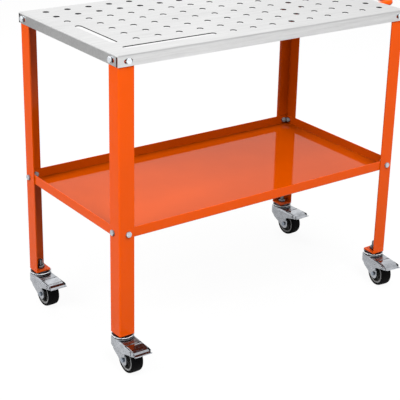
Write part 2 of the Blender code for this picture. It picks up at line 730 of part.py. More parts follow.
def pedal_mesh():
    """The pressed brake pedal about its pivot pin, with side flanges, cam and flared lip."""
    t = PEDAL_SHEET
    crown = HEAD_TOP - PIVOT_Z
    rear = FORK_TOP_FRONT - 0.0015 - PIVOT_Y
    lip = ARM_END_Y - 0.0015 - PIVOT_Y
    upper = [(rear, crown - 0.0004), (rear - 0.010, crown + 0.0010), (-0.002, crown + 0.0006)]
    upper += [(lip + 0.005, crown - 0.0020), (lip, crown - 0.0045)]
    lower = [(y, z - t) for y, z in reversed(upper)]
    mesh = prism_mesh(upper + lower, "x", -PEDAL_HALF_WIDTH, PEDAL_HALF_WIDTH)
    tip = lip - 0.0105
    blade = [(lip + 0.003, crown - 0.0036), (lip - 0.004, crown - 0.0058), (tip, crown - 0.0063)]
    under = [(y, z - t) for y, z in reversed(blade)]
    wide = PEDAL_LIP_HALF_WIDTH
    narrow = PEDAL_HALF_WIDTH - 0.0005
    outline = blade + under
    widths = [narrow, wide, wide, wide, wide, narrow]
    sections = []
    for sign in (-1, 1):
        sections.append([(sign * w, y, z) for (y, z), w in zip(outline, widths)])
    mesh = combined(mesh, loft_mesh(sections), "UNION")
    flange = [
        (rear - 0.006, crown - t * 0.5),
        (rear - 0.010, -0.0050),
        (-0.006, -0.0062),
        (-0.010, crown - t * 1.5),
    ]
    for sign in (-1, 1):
        span = sorted((sign * PEDAL_HALF_WIDTH * 0.998, sign * (PEDAL_HALF_WIDTH - t)))
        mesh = combined(mesh, prism_mesh(flange, "x", *span), "UNION")
    gap = math.hypot(CASTER_TRAIL + PIVOT_Y, PIVOT_Z - WHEEL_RADIUS) - WHEEL_RADIUS
    reach = gap - 0.0007
    line = math.atan2(WHEEL_RADIUS - PIVOT_Z, -CASTER_TRAIL - PIVOT_Y)
    aim = line - math.radians(PEDAL_TRAVEL + 3)
    nose = (reach * math.cos(aim), reach * math.sin(aim))
    cam = [(0.0045, crown - t * 0.6), (0.0040, -0.004), (nose[0] + 0.0022, nose[1] + 0.0012), nose,
           (nose[0] - 0.0026, nose[1] + 0.0016), (-0.0040, -0.004), (-0.0045, crown - t * 0.6)]
    mesh = combined(mesh, prism_mesh(cam, "x", -0.009, 0.009), "UNION")
    end = FORK_HALF_WIDTH_TOP + SEAT
    pin = turned_mesh([(0.0, -end - 0.0018), (0.0038, -end - 0.0018), (0.0042, -end), (PIN_RADIUS, -end),
                       (PIN_RADIUS, end), (0.0042, end), (0.0038, end + 0.0018), (0.0, end + 0.0018)], 6, "x")
    return combined(mesh, pin, "UNION")


def build_caster(corner, meshes, materials):
    """One caster at a corner, turned about its stem to its rest angle."""
    x, y = stem_position(corner)
    turn = math.radians(REST_TURN[corner])
    spin = Matrix.Rotation(turn, 3, "Z")
    hub = Vector((x, y, WHEEL_RADIUS)) + spin @ Vector((0.0, -CASTER_TRAIL, 0.0))
    pivot = Vector((x, y, PIVOT_Z)) + spin @ Vector((0.0, PIVOT_Y, 0.0))
    axle = moved(meshes["axle"].copy(), Matrix.Translation((0.0, -CASTER_TRAIL, 0.0)))
    plated = materials["plated"]
    add_piece("caster_stem_" + corner, meshes["stem"].copy(), plated, (x, y, 0.0), 0.0, 40)
    add_piece("caster_nut_" + corner, meshes["nut"].copy(), plated, (x, y, 0.0), 0.0, 30)
    add_piece("caster_fork_" + corner, meshes["fork"].copy(), materials["fork"], (x, y, 0.0), turn, 35)
    add_piece("wheel_axle_" + corner, axle, plated, (x, y, WHEEL_RADIUS), turn, 30)
    add_piece("wheel_hub_" + corner, meshes["hub"].copy(), materials["hub"], hub, turn, 40)
    add_piece("wheel_tyre_" + corner, meshes["tyre"].copy(), materials["tyre"], hub, turn, 50)
    add_piece("brake_pedal_" + corner, meshes["pedal"].copy(), materials["pedal"], pivot, turn, 35)


def centre_on_floor():
    """Bring the middle of the whole part over the origin, with the wheels on the floor."""
    low = Vector((1e9, 1e9, 1e9))
    high = -low
    pieces = [thing for thing in bpy.data.objects if thing.type == "MESH"]
    for thing in pieces:
        for vert in thing.data.vertices:
            place = thing.location + vert.co
            for k in range(3):
                low[k] = min(low[k], place[k])
                high[k] = max(high[k], place[k])
    shift = Vector(((low.x + high.x) / 2, (low.y + high.y) / 2, low.z))
    for thing in pieces:
        thing.location = thing.location - shift


def main():
    """Build every piece of the table."""
    clear_scene()
    sheet = make_material("top_sheet", SHEET_GREY, 0.7, 0.4)
    paint = make_material("orange_paint", ORANGE, 0.0, 0.25)
    bolt = make_material("plated_bolt", PLATED, 1.0, 0.3)
    materials = {
        "plated": make_material("plated_stem", PLATED, 1.0, 0.3),
        "fork": make_material("plated_fork", PLATED, 1.0, 0.35),
        "pedal": make_material("plated_pedal", PLATED, 1.0, 0.25),
        "hub": make_material("hub_grey", HUB_GREY, 0.0, 0.5),
        "tyre": make_material("tyre_black", BLACK, 0.0, 0.6),
    }
    build_top(sheet)
    for corner in CORNERS:
        build_leg(corner, paint)
    build_tray(paint)
    build_bolts(bolt)
    build_handle(paint, bolt)
    meshes = {
        "stem": stem_mesh(),
        "nut": nut_mesh(),
        "fork": fork_mesh(),
        "axle": axle_mesh(),
        "hub": hub_mesh(),
        "tyre": tyre_mesh(),
        "pedal": pedal_mesh(),
    }
    for corner in CORNERS:
        build_caster(corner, meshes, materials)
    for mesh in meshes.values():
        bpy.data.meshes.remove(mesh)
    centre_on_floor()


main()
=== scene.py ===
"""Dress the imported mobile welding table: a folded perforated steel top, orange angle legs,
a lipped tray, a push handle, zinc bolts and braked stem casters, on a white studio floor.
Lengths are metres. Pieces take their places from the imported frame."""
import json
import math

import bmesh
import bpy
from bpy.props import FloatProperty, FloatVectorProperty, IntProperty, PointerProperty
from mathutils import Matrix, Vector


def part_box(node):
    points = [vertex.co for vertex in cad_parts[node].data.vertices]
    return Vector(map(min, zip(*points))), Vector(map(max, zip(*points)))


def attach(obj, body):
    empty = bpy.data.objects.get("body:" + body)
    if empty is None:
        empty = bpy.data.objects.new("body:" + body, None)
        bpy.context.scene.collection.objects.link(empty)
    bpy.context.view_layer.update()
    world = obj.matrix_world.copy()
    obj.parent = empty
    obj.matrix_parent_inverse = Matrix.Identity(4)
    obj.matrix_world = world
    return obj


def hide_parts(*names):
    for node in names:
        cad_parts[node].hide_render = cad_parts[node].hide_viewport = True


bl_info = {
    "name": "Mobile welding table",
    "version": (1, 0, 0),
    "blender": (4, 5, 0),
    "location": "3D View > Sidebar > Welding Table",
    "description": "Builds the detailed pieces and finishes of a mobile welding table",
    "category": "Object",
}

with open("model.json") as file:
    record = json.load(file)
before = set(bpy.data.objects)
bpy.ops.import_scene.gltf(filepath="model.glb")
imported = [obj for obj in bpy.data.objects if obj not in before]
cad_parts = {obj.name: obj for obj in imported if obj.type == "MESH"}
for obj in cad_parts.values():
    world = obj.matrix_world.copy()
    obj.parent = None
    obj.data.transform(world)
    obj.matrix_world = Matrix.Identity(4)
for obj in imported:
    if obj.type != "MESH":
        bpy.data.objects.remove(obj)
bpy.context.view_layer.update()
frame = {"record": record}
TOP_LOW, TOP_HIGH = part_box("table_top")
TRAY_LOW, TRAY_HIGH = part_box("tray_shelf")
BAR_LOW, BAR_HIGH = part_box("push_handle")
MIDDLE = (TOP_LOW + TOP_HIGH) / 2
JOINTS = {joint["name"]: joint for joint in frame["record"]["behaviour"]["joints"]}
CORNERS = {
    "front_left": (-1, -1),
    "front_right": (1, -1),
    "back_left": (-1, 1),
    "back_right": (1, 1),
}
# Gap of a seat, play of an axle or stud in its hole, and radii of the holes for bolts and studs
SEAT = 0.0003
PLAY = 0.0004
BOLT_HOLE = 0.0044
STUD_HOLE = 0.0064
# How far a bolt's tip stands out of its nut
BOLT_TIP = 0.001
# How far a cutter reaches into a wall and past a face, and half its length across a caster
CUT_IN = 0.008
CUT_OUT = 0.01
CUT_ACROSS = 0.05
# A distance that is too small to see
HAIR = 0.0001
# Grid places where the slot along the left edge starts and ends, and where the front slot ends
CROSS_SLOT_ROWS = (3, 6)
FRONT_SLOT_COLUMN = 4
# Studio: white, the floor's half size and drop, the lamps' target and size, and place and power of each lamp
WHITE = (1.0, 1.0, 1.0, 1.0)
FLOOR_HALF = 9.0
FLOOR_DROP = 0.0002
LAMP_TARGET = Vector((0.0, 0.0, 0.4))
LAMP_SIZE = 1.6
LAMPS = {
    "front_softbox": ((-0.3, -1.9, 3.0), 92.0),
    "left_softbox": ((-2.6, -0.1, 2.3), 60.0),
    "back_softbox": ((0.5, 1.9, 3.0), 46.0),
}


# Outlines and meshes

def ring_points(radius, count, centre=(0.0, 0.0)):
    """Points of a regular polygon, anticlockwise."""
    angles = [2 * math.pi * i / count for i in range(count)]
    return [(centre[0] + radius * math.cos(a), centre[1] + radius * math.sin(a)) for a in angles]


def arc_points(centre, radius, start, end, steps):
    """Points on an arc between two angles in degrees, both ends included."""
    points = []
    for i in range(steps + 1):
        angle = math.radians(start + (end - start) * i / steps)
        points.append((centre[0] + radius * math.cos(angle), centre[1] + radius * math.sin(angle)))
    return points


def slot_points(centre, length, width, along_first, steps=12):
    """Outline of a slot with round ends, anticlockwise, along the first or the second axis."""
    half = (length - width) / 2
    points = []
    for middle, start in ((half, -90), (-half, 90)):
        points += arc_points((middle, 0.0), width / 2, start, start + 180, steps)
    if not along_first:
        points = [(-b, a) for a, b in points]
    return [(centre[0] + a, centre[1] + b) for a, b in points]


def filleted(corners, steps):
    """A closed outline from (x, y, radius) corners, each rounded as far as its edges allow."""
    most_of_edge = 0.48
    nearly_straight = 1.55
    points = []
    for i, (x, y, radius) in enumerate(corners):
        here = Vector((x, y))
        before = Vector(corners[i - 1][:2]) - here
        after = Vector(corners[(i + 1) % len(corners)][:2]) - here
        half = before.angle(after) / 2
        shorter = min(before.length, after.length)
        reach = min(radius / max(math.tan(half), 1e-6), shorter * most_of_edge)
        if reach < 1e-5 or half > nearly_straight:
            points.append((x, y))
            continue
        first = here + before.normalized() * reach
        last = here + after.normalized() * reach
        for k in range(steps + 1):
            t = k / steps
            spot = first * (1 - t) ** 2 + here * 2 * t * (1 - t) + last * t ** 2
            points.append((spot.x, spot.y))
    return points


def smooth_step(value):
    """Ease from 0 to 1 with level ends."""
    value = min(max(value, 0.0), 1.0)
    return value * value * (3 - 2 * value)


def between(value, table):
    """Read a value from (place, value) rows that fall along place, eased between rows."""
    for (a, low), (b, high) in zip(table, table[1:]):
        if min(a, b) <= value <= max(a, b):
            return low + (high - low) * smooth_step((value - a) / (b - a))
    return table[0][1] if abs(value - table[0][0]) < abs(value - table[-1][0]) else table[-1][1]


def to_mesh(bm):
    """Turn a bmesh into a mesh with its faces pointing out."""
    bmesh.ops.remove_doubles(bm, verts=bm.verts, dist=1e-6)
    bmesh.ops.recalc_face_normals(bm, faces=bm.faces)
    mesh = bpy.data.meshes.new("draft")
    bm.to_mesh(mesh)
    bm.free()
    return mesh


def loft(rings):
    """Skin a row of point rings that have the same count, and close its ends."""
    bm = bmesh.new()
    rows = [[bm.verts.new(point) for point in ring] for ring in rings]
    count = len(rows[0])
    for low, high in zip(rows, rows[1:]):
        for i in range(count):
            j = (i + 1) % count
            bm.faces.new((low[i], low[j], high[j], high[i]))
    bm.faces.new(list(reversed(rows[0])))
    bm.faces.new(rows[-1])
    return to_mesh(bm)


def placed(point, height, axis):
    """Put a flat point at a height along an axis."""
    a, b = point
    return {"x": (height, a, b), "y": (a, height, b), "z": (a, b, height)}[axis]


def prism(outline, axis, start, end):
    """Push an outline along an axis."""
    return loft([[placed(p, h, axis) for p in outline] for h in (start, end)])


def across(outline):
    """A cutter right through a caster, from a side outline."""
    return prism(outline, "x", -CUT_ACROSS, CUT_ACROSS)


def mirrored(profile):
    """A profile of (radius, height) points with its mirror image below."""
    return profile + [(radius, -height) for radius, height in reversed(profile)]


def turned(profile, sides, axis="z"):
    """Turn a profile of (radius, height) points about an axis. Closed unless it ends on the axis."""
    bm = bmesh.new()
    rows = []
    for radius, height in profile:
        if radius < 1e-7:
            rows.append([bm.verts.new(placed((0.0, 0.0), height, axis))])
        else:
            rows.append([bm.verts.new(placed(p, height, axis)) for p in ring_points(radius, sides)])
    pairs = list(zip(rows, rows[1:]))
    if len(rows[0]) > 1 and len(rows[-1]) > 1:
        pairs.append((rows[-1], rows[0]))
    for low, high in pairs:
        for i in range(sides):
            j = (i + 1) % sides
            corners = [low[i % len(low)], low[j % len(low)], high[j % len(high)], high[i % len(high)]]
            corners = [v for k, v in enumerate(corners) if v not in corners[:k]]
            if len(corners) > 2:
                bm.faces.new(corners)
    return to_mesh(bm)


def box(low, high):
    """A plain block."""
    outline = [(low[0], low[1]), (high[0], low[1]), (high[0], high[1]), (low[0], high[1])]
    return prism(outline, "z", low[2], high[2])


def moved(mesh, matrix):
    """Move a mesh by a matrix."""
    mesh.transform(matrix)
    if matrix.determinant() < 0:
        mesh.flip_normals()
    return mesh


def joined(meshes):
    """Put several meshes into one."""
    bm = bmesh.new()
    for mesh in meshes:
        bm.from_mesh(mesh)
        bpy.data.meshes.remove(mesh)
    mesh = bpy.data.meshes.new("draft")
    bm.to_mesh(mesh)
    bm.free()
    return mesh


def combined(mesh, other, operation):
    """Join, cut or intersect two closed meshes."""
    things = []
    for data in (mesh, other):
        thing = bpy.data.objects.new("draft", data)
        bpy.context.scene.collection.objects.link(thing)
        things.append(thing)
    modifier = things[0].modifiers.new("combine", "BOOLEAN")
    modifier.operation = operation
    modifier.solver = "EXACT"
    modifier.object = things[1]
    graph = bpy.context.evaluated_depsgraph_get()
    result = bpy.data.meshes.new_from_object(things[0].evaluated_get(graph))
    for thing in things:
        data = thing.data
        bpy.data.objects.remove(thing, do_unlink=True)
        bpy.data.meshes.remove(data)
    if not result.polygons:
        raise RuntimeError("a cut left nothing of the piece")
    return result


def bevelled_box(low, high, radius, steps, height):
    """A block whose edges at one height are rounded."""
    mesh = box(low, high)
    bm = bmesh.new()
    bm.from_mesh(mesh)
    bpy.data.meshes.remove(mesh)
    edges = [e for e in bm.edges if all(abs(v.co.z - height) < 1e-6 for v in e.verts)]
    bmesh.ops.bevel(bm, geom=edges, offset=radius, segments=steps, profile=0.5, affect="EDGES")
    return to_mesh(bm)


def add_piece(name, mesh, finishes, body, nodes, sharp, bevel=0.0):
    """Make a named piece that rides on a body and stands for the CAD nodes it replaces."""
    mesh.name = name
    mesh.materials.clear()
    for finish in finishes:
        mesh.materials.append(finish_named(finish))
    mesh.shade_smooth()
    mesh.set_sharp_from_angle(angle=math.radians(sharp))
    piece = bpy.data.objects.new(name, mesh)
    bpy.context.scene.collection.objects.link(piece)
    if bevel > 0:
        edge = piece.modifiers.new("soft edges", "BEVEL")
        edge.width = bevel
        edge.segments = 2
        edge.limit_method = "ANGLE"
        edge.angle_limit = math.radians(50)
        edge.miter_outer = "MITER_ARC"
    flat = piece.modifiers.new("flat faces", "WEIGHTED_NORMAL")
    flat.keep_sharp = True
    flat.weight = 90
    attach(piece, body)
    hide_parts(*nodes)
    return piece


def hexagon(flats, height, sides_per_flat=6, both_ends=False):
    """A bolt head or nut from height 0 up, with its corners chamfered at the top or at both ends."""
    sixth = math.radians(60)
    angles = [math.radians(60 * k + 60 * i / sides_per_flat) for k in range(6) for i in range(sides_per_flat)]
    full = [flats / 2 / math.cos(a % sixth - sixth / 2) for a in angles]
    tip = flats / 2 * 0.94
    chamfer = math.tan(math.radians(28))
    fall = [(r - tip) * chamfer for r in full]
    small = [tip] * len(angles)

    def row(radii, heights):
        return [(r * math.cos(a), r * math.sin(a), h) for a, r, h in zip(angles, radii, heights)]

    level = [0.0] * len(angles)
    rings = [row(small, level), row(full, fall)] if both_ends else [row(full, level)]
    rings.append(row(full, [height - f for f in fall]))
    rings.append(row(small, [height] * len(angles)))
    return loft(rings)


def thread_mesh(radius, pitch, low, high):
    """A threaded rod with a helical groove and a chamfered upper end."""
    sides = 32
    rows_per_turn = 6
    depth = pitch * 0.5
    rows = max(8, int((high - low) / pitch * rows_per_turn))
    rings = []
    for j in range(rows + 1):
        z = low + (high - low) * j / rows
        ring = []
        for i in range(sides):
            a = 2 * math.pi * i / sides
            phase = ((z - low) / pitch - i / sides) % 1.0
            groove = depth * min(1.0, max(0.0, 1.25 - 2.5 * abs(phase - 0.5)))
            end = max(0.0, z - (high - pitch * 0.9))
            r = min(radius - groove * 0.75, radius - end * 0.9)
            ring.append((r * math.cos(a), r * math.sin(a), z))
        rings.append(ring)
    return loft(rings)


# Finishes

class NodeTree:
    """Short ways to add and join the nodes of a material or a world."""

    def __init__(self, owner):
        owner.use_nodes = True
        self.tree = owner.node_tree

    def fill(self, socket, value):
        """Give a socket a constant, or join another node's output to it."""
        if isinstance(value, bpy.types.NodeSocket):
            self.tree.links.new(value, socket)
        else:
            socket.default_value = value

    def node(self, kind, inputs=None, **settings):
        """Add a node, set its properties and fill its inputs."""
        made = self.tree.nodes.new(kind)
        for key, value in settings.items():
            setattr(made, key, value)
        for socket, value in (inputs or {}).items():
            self.fill(made.inputs[socket], value)
        return made

    def calculate(self, operation, *values):
        """Work out a number from numbers."""
        return self.node("ShaderNodeMath", dict(enumerate(values)), operation=operation).outputs[0]

    def measure(self, operation, *vectors):
        """Work out a number from vectors."""
        made = self.node("ShaderNodeVectorMath", dict(enumerate(vectors)), operation=operation)
        return made.outputs["Value"]

    def ranged(self, value, low, high, start=0.3, end=0.7):
        """Map a value from a span to a range."""
        spans = {"From Min": start, "From Max": end, "To Min": low, "To Max": high}
        return self.node("ShaderNodeMapRange", {"Value": value, **spans}).outputs["Result"]

    def blend(self, value, first, second):
        """Mix two colours, each a tuple or an output, by a value."""
        first, second = [(*c, 1.0) if isinstance(c, tuple) else c for c in (first, second)]
        made = self.node("ShaderNodeMix", {0: value, 6: first, 7: second}, data_type="RGBA")
        return made.outputs[2]

    def rays(self):
        """The kinds of ray that a surface can tell apart."""
        return self.node("ShaderNodeLightPath").outputs

    def white_to_camera(self, strength):
        """Full strength for rays from the camera, and the given one for others."""
        inputs = {"Factor": self.rays()["Is Camera Ray"], "A": strength, "B": 1.0}
        return self.node("ShaderNodeMix", inputs).outputs["Result"]

    def seen_directly(self):
        """1 for rays from the camera, from gloss and through glass, else 0."""
        rays = self.rays()
        most = self.calculate("MAXIMUM", rays["Is Camera Ray"], rays["Is Glossy Ray"])
        return self.calculate("MAXIMUM", most, rays["Is Transmission Ray"])

    def mixed(self, share, first, second):
        """Mix two shaders by a share."""
        shaders = {0: share, 1: first.outputs[0], 2: second.outputs[0]}
        return self.node("ShaderNodeMixShader", shaders).outputs[0]


class Finish(NodeTree):
    """A Principled material with short ways to vary it."""

    def __init__(self, name, base, metallic, roughness):
        self.material = bpy.data.materials.new(name)
        super().__init__(self.material)
        self.shader = self.tree.nodes["Principled BSDF"]
        self.base = base
        self.set("Base Color", (*base, 1.0))
        self.set("Metallic", metallic)
        self.set("Roughness", roughness)
        self.place = self.node("ShaderNodeTexCoord").outputs["Object"]

    def set(self, socket, value):
        """Set a constant on the shader, or drive it by an output."""
        self.fill(self.shader.inputs[socket], value)

    def noise(self, scale, detail, stretch=None, roughness=0.55):
        """Grey noise from 0 to 1, with its places scaled on each axis where a stretch is given."""
        place = self.place
        if stretch:
            place = self.node("ShaderNodeMapping", {"Vector": place, "Scale": stretch}).outputs["Vector"]
        inputs = {"Vector": place, "Scale": scale, "Detail": detail, "Roughness": roughness}
        return self.node("ShaderNodeTexNoise", inputs).outputs["Fac"]

    def open_part(self, distance, start, end):
        """0 in a tight gap to 1 in the open, from ambient occlusion; the finishes paint shade into gaps with
        it.
        """
        gaps = self.node("ShaderNodeAmbientOcclusion", {"Distance": distance}, samples=8)
        return self.ranged(gaps.outputs["AO"], 0.0, 1.0, start, end)

    def mottle(self, value, darker, lighter):
        """The base colour, varied between two shades by a noise."""
        return self.blend(self.ranged(value, 0.0, 1.0), shade(self.base, darker), shade(self.base, lighter))

    def bump(self, value, height, strength):
        """Raise the surface by a noise."""
        made = self.node("ShaderNodeBump", {"Strength": strength, "Distance": height, "Height": value})
        self.set("Normal", made.outputs["Normal"])


def shade(colour, factor):
    """A colour made lighter or darker."""
    return tuple(min(1.0, c * factor) for c in colour)


def brushed_sheet(name, base):
    """Satin sheet steel with a fine grain along its length."""
    made = Finish(name, base, 1.0, 0.34)
    grain = made.noise(1.0, 2.0, (14.0, 1500.0, 1500.0))
    streak = made.noise(1.0, 3.0, (7.0, 170.0, 170.0), 0.7)
    cloud = made.noise(6.0, 3.0)
    fine = made.mottle(grain, 0.95, 1.03)
    made.set("Base Color", made.blend(made.ranged(streak, 0.0, 1.0, 0.25, 0.6), shade(base, 0.86), fine))
    made.set("Roughness", made.ranged(cloud, 0.30, 0.38))
    made.set("Anisotropic", 0.3)
    made.bump(grain, 0.00004, 0.35)
    return made.material


def cut_edge(name, base):
    """Dark steel on the walls of laser-cut holes and slots: partly the cut's real heat tint, partly painted
    shade inside the holes.
    """
    made = Finish(name, base, 0.0, 0.5)
    streak = made.noise(1.0, 2.0, (900.0, 900.0, 60.0))
    cloud = made.noise(70.0, 2.0)
    made.set("Base Color", made.mottle(cloud, 0.7, 1.3))
    made.set("Roughness", made.ranged(streak, 0.52, 0.72))
    made.set("Specular IOR Level", 0.1)
    made.bump(streak, 0.00005, 0.4)
    return made.material


def powder_coat(name, base, smooth, rough):
    """Glossy powder coat with a soft orange-peel skin, with painted shade in tight gaps and a darker colour
    seen in mirrors and by bounced light.
    """
    settings = table_settings().finishes
    made = Finish(name, base, 0.0, 0.14)
    cloud = made.noise(9.0, 2.0)
    peel = made.noise(420.0, 2.0)
    coat = made.mottle(cloud, 0.97, 1.02)
    # Painted shade: the coat turns nearly black in tight gaps, found by ambient occlusion.
    coat = made.blend(made.open_part(0.010, 0.22, 0.56), shade(base, 0.06), coat)
    rays = made.rays()
    # Painted shade in reflections: mirrors see the paint at only a share of its colour.
    coat = made.blend(rays["Is Glossy Ray"], coat, shade(base, settings.paint_mirrored))
    made.set("Base Color", made.blend(rays["Is Diffuse Ray"], coat, shade(base, settings.paint_bleed)))
    made.set("Roughness", made.ranged(peel, smooth, rough))
    made.set("IOR", 1.21)
    made.bump(peel, 0.00002, 0.25)
    return made.material


def zinc_plate(name, base, rough, metallic=1.0):
    """Bright zinc plating with a faint mottle, and painted shade in tight gaps."""
    made = Finish(name, base, metallic, rough)
    fine = made.noise(160.0, 4.0)
    cloud = made.noise(75.0, 2.0)
    plate = made.mottle(cloud, 0.84, 1.08)
    # Painted shade: the plating darkens in tight gaps, found by ambient occlusion.
    made.set("Base Color", made.blend(made.open_part(0.014, 0.35, 0.85), shade(base, 0.2), plate))
    made.set("Roughness", made.ranged(fine, rough * 0.8, rough * 1.25))
    made.bump(fine, 0.00004, 0.3)
    return made.material


def wheel_rubber(name, base):
    """Matt black rubber with a faint moulded bloom."""
    made = Finish(name, base, 0.0, 0.5)
    bloom = made.noise(140.0, 4.0)
    pores = made.noise(1400.0, 2.0)
    made.set("Base Color", made.mottle(bloom, 0.8, 1.7))
    made.set("Roughness", made.ranged(bloom, 0.55, 0.75))
    made.set("Specular IOR Level", 0.06)
    made.bump(pores, 0.00005, 0.35)
    return made.material


def hub_plastic(name, base):
    """Moulded hub plastic with a fine grain."""
    made = Finish(name, base, 0.0, 0.42)
    grain = made.noise(900.0, 3.0)
    cloud = made.noise(60.0, 2.0)
    made.set("Base Color", made.mottle(cloud, 0.9, 1.08))
    made.set("Roughness", made.ranged(grain, 0.36, 0.5))
    made.bump(grain, 0.00004, 0.3)
    return made.material


def finish_named(name):
    """Give back a finish, making it the first time it is asked for."""
    found = bpy.data.materials.get(name)
    if found:
        return found
    settings = table_settings().finishes
    maker, *values = {
        "brushed_top_sheet": (brushed_sheet, settings.sheet_colour),
        "dull_inner_sheet": (brushed_sheet, settings.inner_sheet_shade_colour),
        "laser_cut_edge": (cut_edge, settings.cut_oxide_and_shade_colour),
        "orange_powder_coat": (powder_coat, settings.paint_colour, 0.09, 0.14),
        "inner_powder_coat": (powder_coat, settings.tray_floor_shade_paint, 0.04, 0.07),
        "zinc_fork": (zinc_plate, settings.zinc_colour, 0.26),
        "zinc_pedal": (zinc_plate, shade(settings.zinc_colour, 1.12), 0.14),
        # Painted shade: a darker copy of the zinc for the studs, their nuts and the race cap's top under the
        # foot plate.
        "zinc_studs": (zinc_plate, shade(settings.zinc_colour, 0.7), 0.3),
        # Painted highlight: a lighter copy of the bolt zinc for the top bolts and the race caps.
        "bright_zinc": (zinc_plate, shade(settings.bolt_colour, 1.45), 0.3, 0.35),
        "bolt_zinc": (zinc_plate, settings.bolt_colour, 0.3, 0.35),
        "blue_zinc": (zinc_plate, settings.axle_colour, 0.3),
        "black_wheel_rubber": (wheel_rubber, settings.tyre_colour),
        "grey_hub_plastic": (hub_plastic, settings.hub_colour),
        # The hub web is a dark copy of the hub plastic: painted shade in the recess.
        "dark_hub_web": (hub_plastic, settings.hub_web_shade_colour),
    }[name]
    return maker(name, *values)


# Settings that a user would change

def length(label, words, default):
    """A length property in metres."""
    return FloatProperty(name=label, description=words, default=default, min=0.0, unit="LENGTH", precision=4)


def tint(label, words, default):
    """A colour property."""
    return FloatVectorProperty(name=label, description=words, default=default, subtype="COLOR", size=3,
                               min=0.0, max=1.0)


def share(label, words, default):
    """A property from 0 to 1."""
    return FloatProperty(name=label, description=words, default=default, min=0.0, max=1.0, subtype="FACTOR")


def direction(label, words, default):
    """A direction property."""
    return FloatVectorProperty(name=label, description=words, default=default, size=3, subtype="DIRECTION")


class TableTopSettings(bpy.types.PropertyGroup):
    """Sizes of the folded perforated top."""
    sheet: length("Sheet", "Thickness of the folded sheet", 0.0025)
    bend: length("Bend radius", "Outside radius of the folds", 0.004)
    corner_slit: length("Corner slit", "Gap between the end skirt and the long skirt", 0.0055)
    hole_columns: IntProperty(name="Columns", description="Fixture holes along the top", default=14, min=2)
    hole_rows: IntProperty(name="Rows", description="Fixture holes across the top", default=8, min=2)
    hole_diameter: length("Hole", "Diameter of a fixture hole", 0.0165)
    hole_chamfer: length("Hole chamfer", "Deburred edge of each hole", 0.0003)
    left_margin: length("Left margin", "From the left edge to the first column", 0.0570)
    right_margin: length("Right margin", "From the right edge to the last column", 0.0475)
    back_margin: length("Back margin", "From the back edge to the first row", 0.0385)
    front_margin: length("Front margin", "From the front edge to the last row", 0.0560)
    bolt_slot_length: length("Bolt slot length", "Slot for each bolt in the skirt", 0.0235)
    bolt_slot_width: length("Bolt slot width", "Width of each bolt slot", 0.011)
    bolt_slot_shift: length("Bolt slot shift", "How far an end bolt sits off the middle of its slot", 0.003)


class FrameSettings(bpy.types.PropertyGroup):
    """Sizes of the legs, the tray and the handle."""
    leg_flange: length("Leg flange", "Width of each flange of an angle leg", 0.0424)
    leg_sheet: length("Leg thickness", "Thickness of an angle leg", 0.003)
    leg_bend: length("Leg bend", "Outside radius of a leg's bend", 0.004)
    foot_plate: length("Foot plate", "Thickness of the plate at a leg's foot", 0.004)
    tray_sheet: length("Tray sheet", "Thickness of the tray", 0.002)
    tray_bend: length("Tray bend", "Outside radius of the tray's folds", 0.003)
    handle_diameter: length("Handle bar", "Diameter of the push handle's bar", 0.016)
    handle_bend: length("Handle bend", "Radius of the handle's bends", 0.026)


class BoltSettings(bpy.types.PropertyGroup):
    """Sizes of the bolts and nuts."""
    shank_radius: length("Shank radius", "Radius of a bolt", 0.004)
    head_flats: length("Head flats", "Width of a bolt head across its flats", 0.0135)
    head_height: length("Head height", "Height of a bolt head", 0.0048)
    nut_flats: length("Nut flats", "Width of a nut across its flats", 0.013)
    nut_height: length("Nut height", "Height of a nut", 0.0062)
    stud_radius: length("Stud radius", "Radius of a caster's threaded stud", 0.006)
    stud_pitch: length("Stud pitch", "Thread pitch of a caster's stud", 0.00175)
    stud_nut_flats: length("Stud nut flats", "Width of the stud's nut across its flats", 0.019)


class CasterSettings(bpy.types.PropertyGroup):
    """Sizes of the braked stem casters, measured up from the floor."""
    height: length("Height", "From the floor to the foot plate", 0.0930)
    trail: length("Trail", "From the stem to the axle", 0.039)
    wheel_radius: length("Wheel radius", "Outside radius of the tyre", 0.0375)
    tread_half: length("Half tread", "Half the width of the tyre", 0.0165)
    hub_radius: length("Hub radius", "Outside radius of the hub", 0.0300)
    head_half: length("Fork head", "Half the width of the fork at its head", 0.0262)
    axle_half: length("Fork foot", "Half the width of the fork at the axle", 0.0220)
    fork_sheet: length("Fork sheet", "Thickness of the pressed fork", 0.0025)
    fork_round: length("Fork rounding", "Radius where the fork's cheeks turn into its head", 0.0065)
    axle_radius: length("Axle radius", "Radius of the wheel bolt", 0.004)
    pedal_sheet: length("Pedal sheet", "Thickness of the pressed pedal", 0.0025)
    pedal_half: length("Half pedal", "Half the width of the pedal", 0.0220)
    lip_half: length("Half lip", "Half the width of the pedal's flared lip", 0.0240)


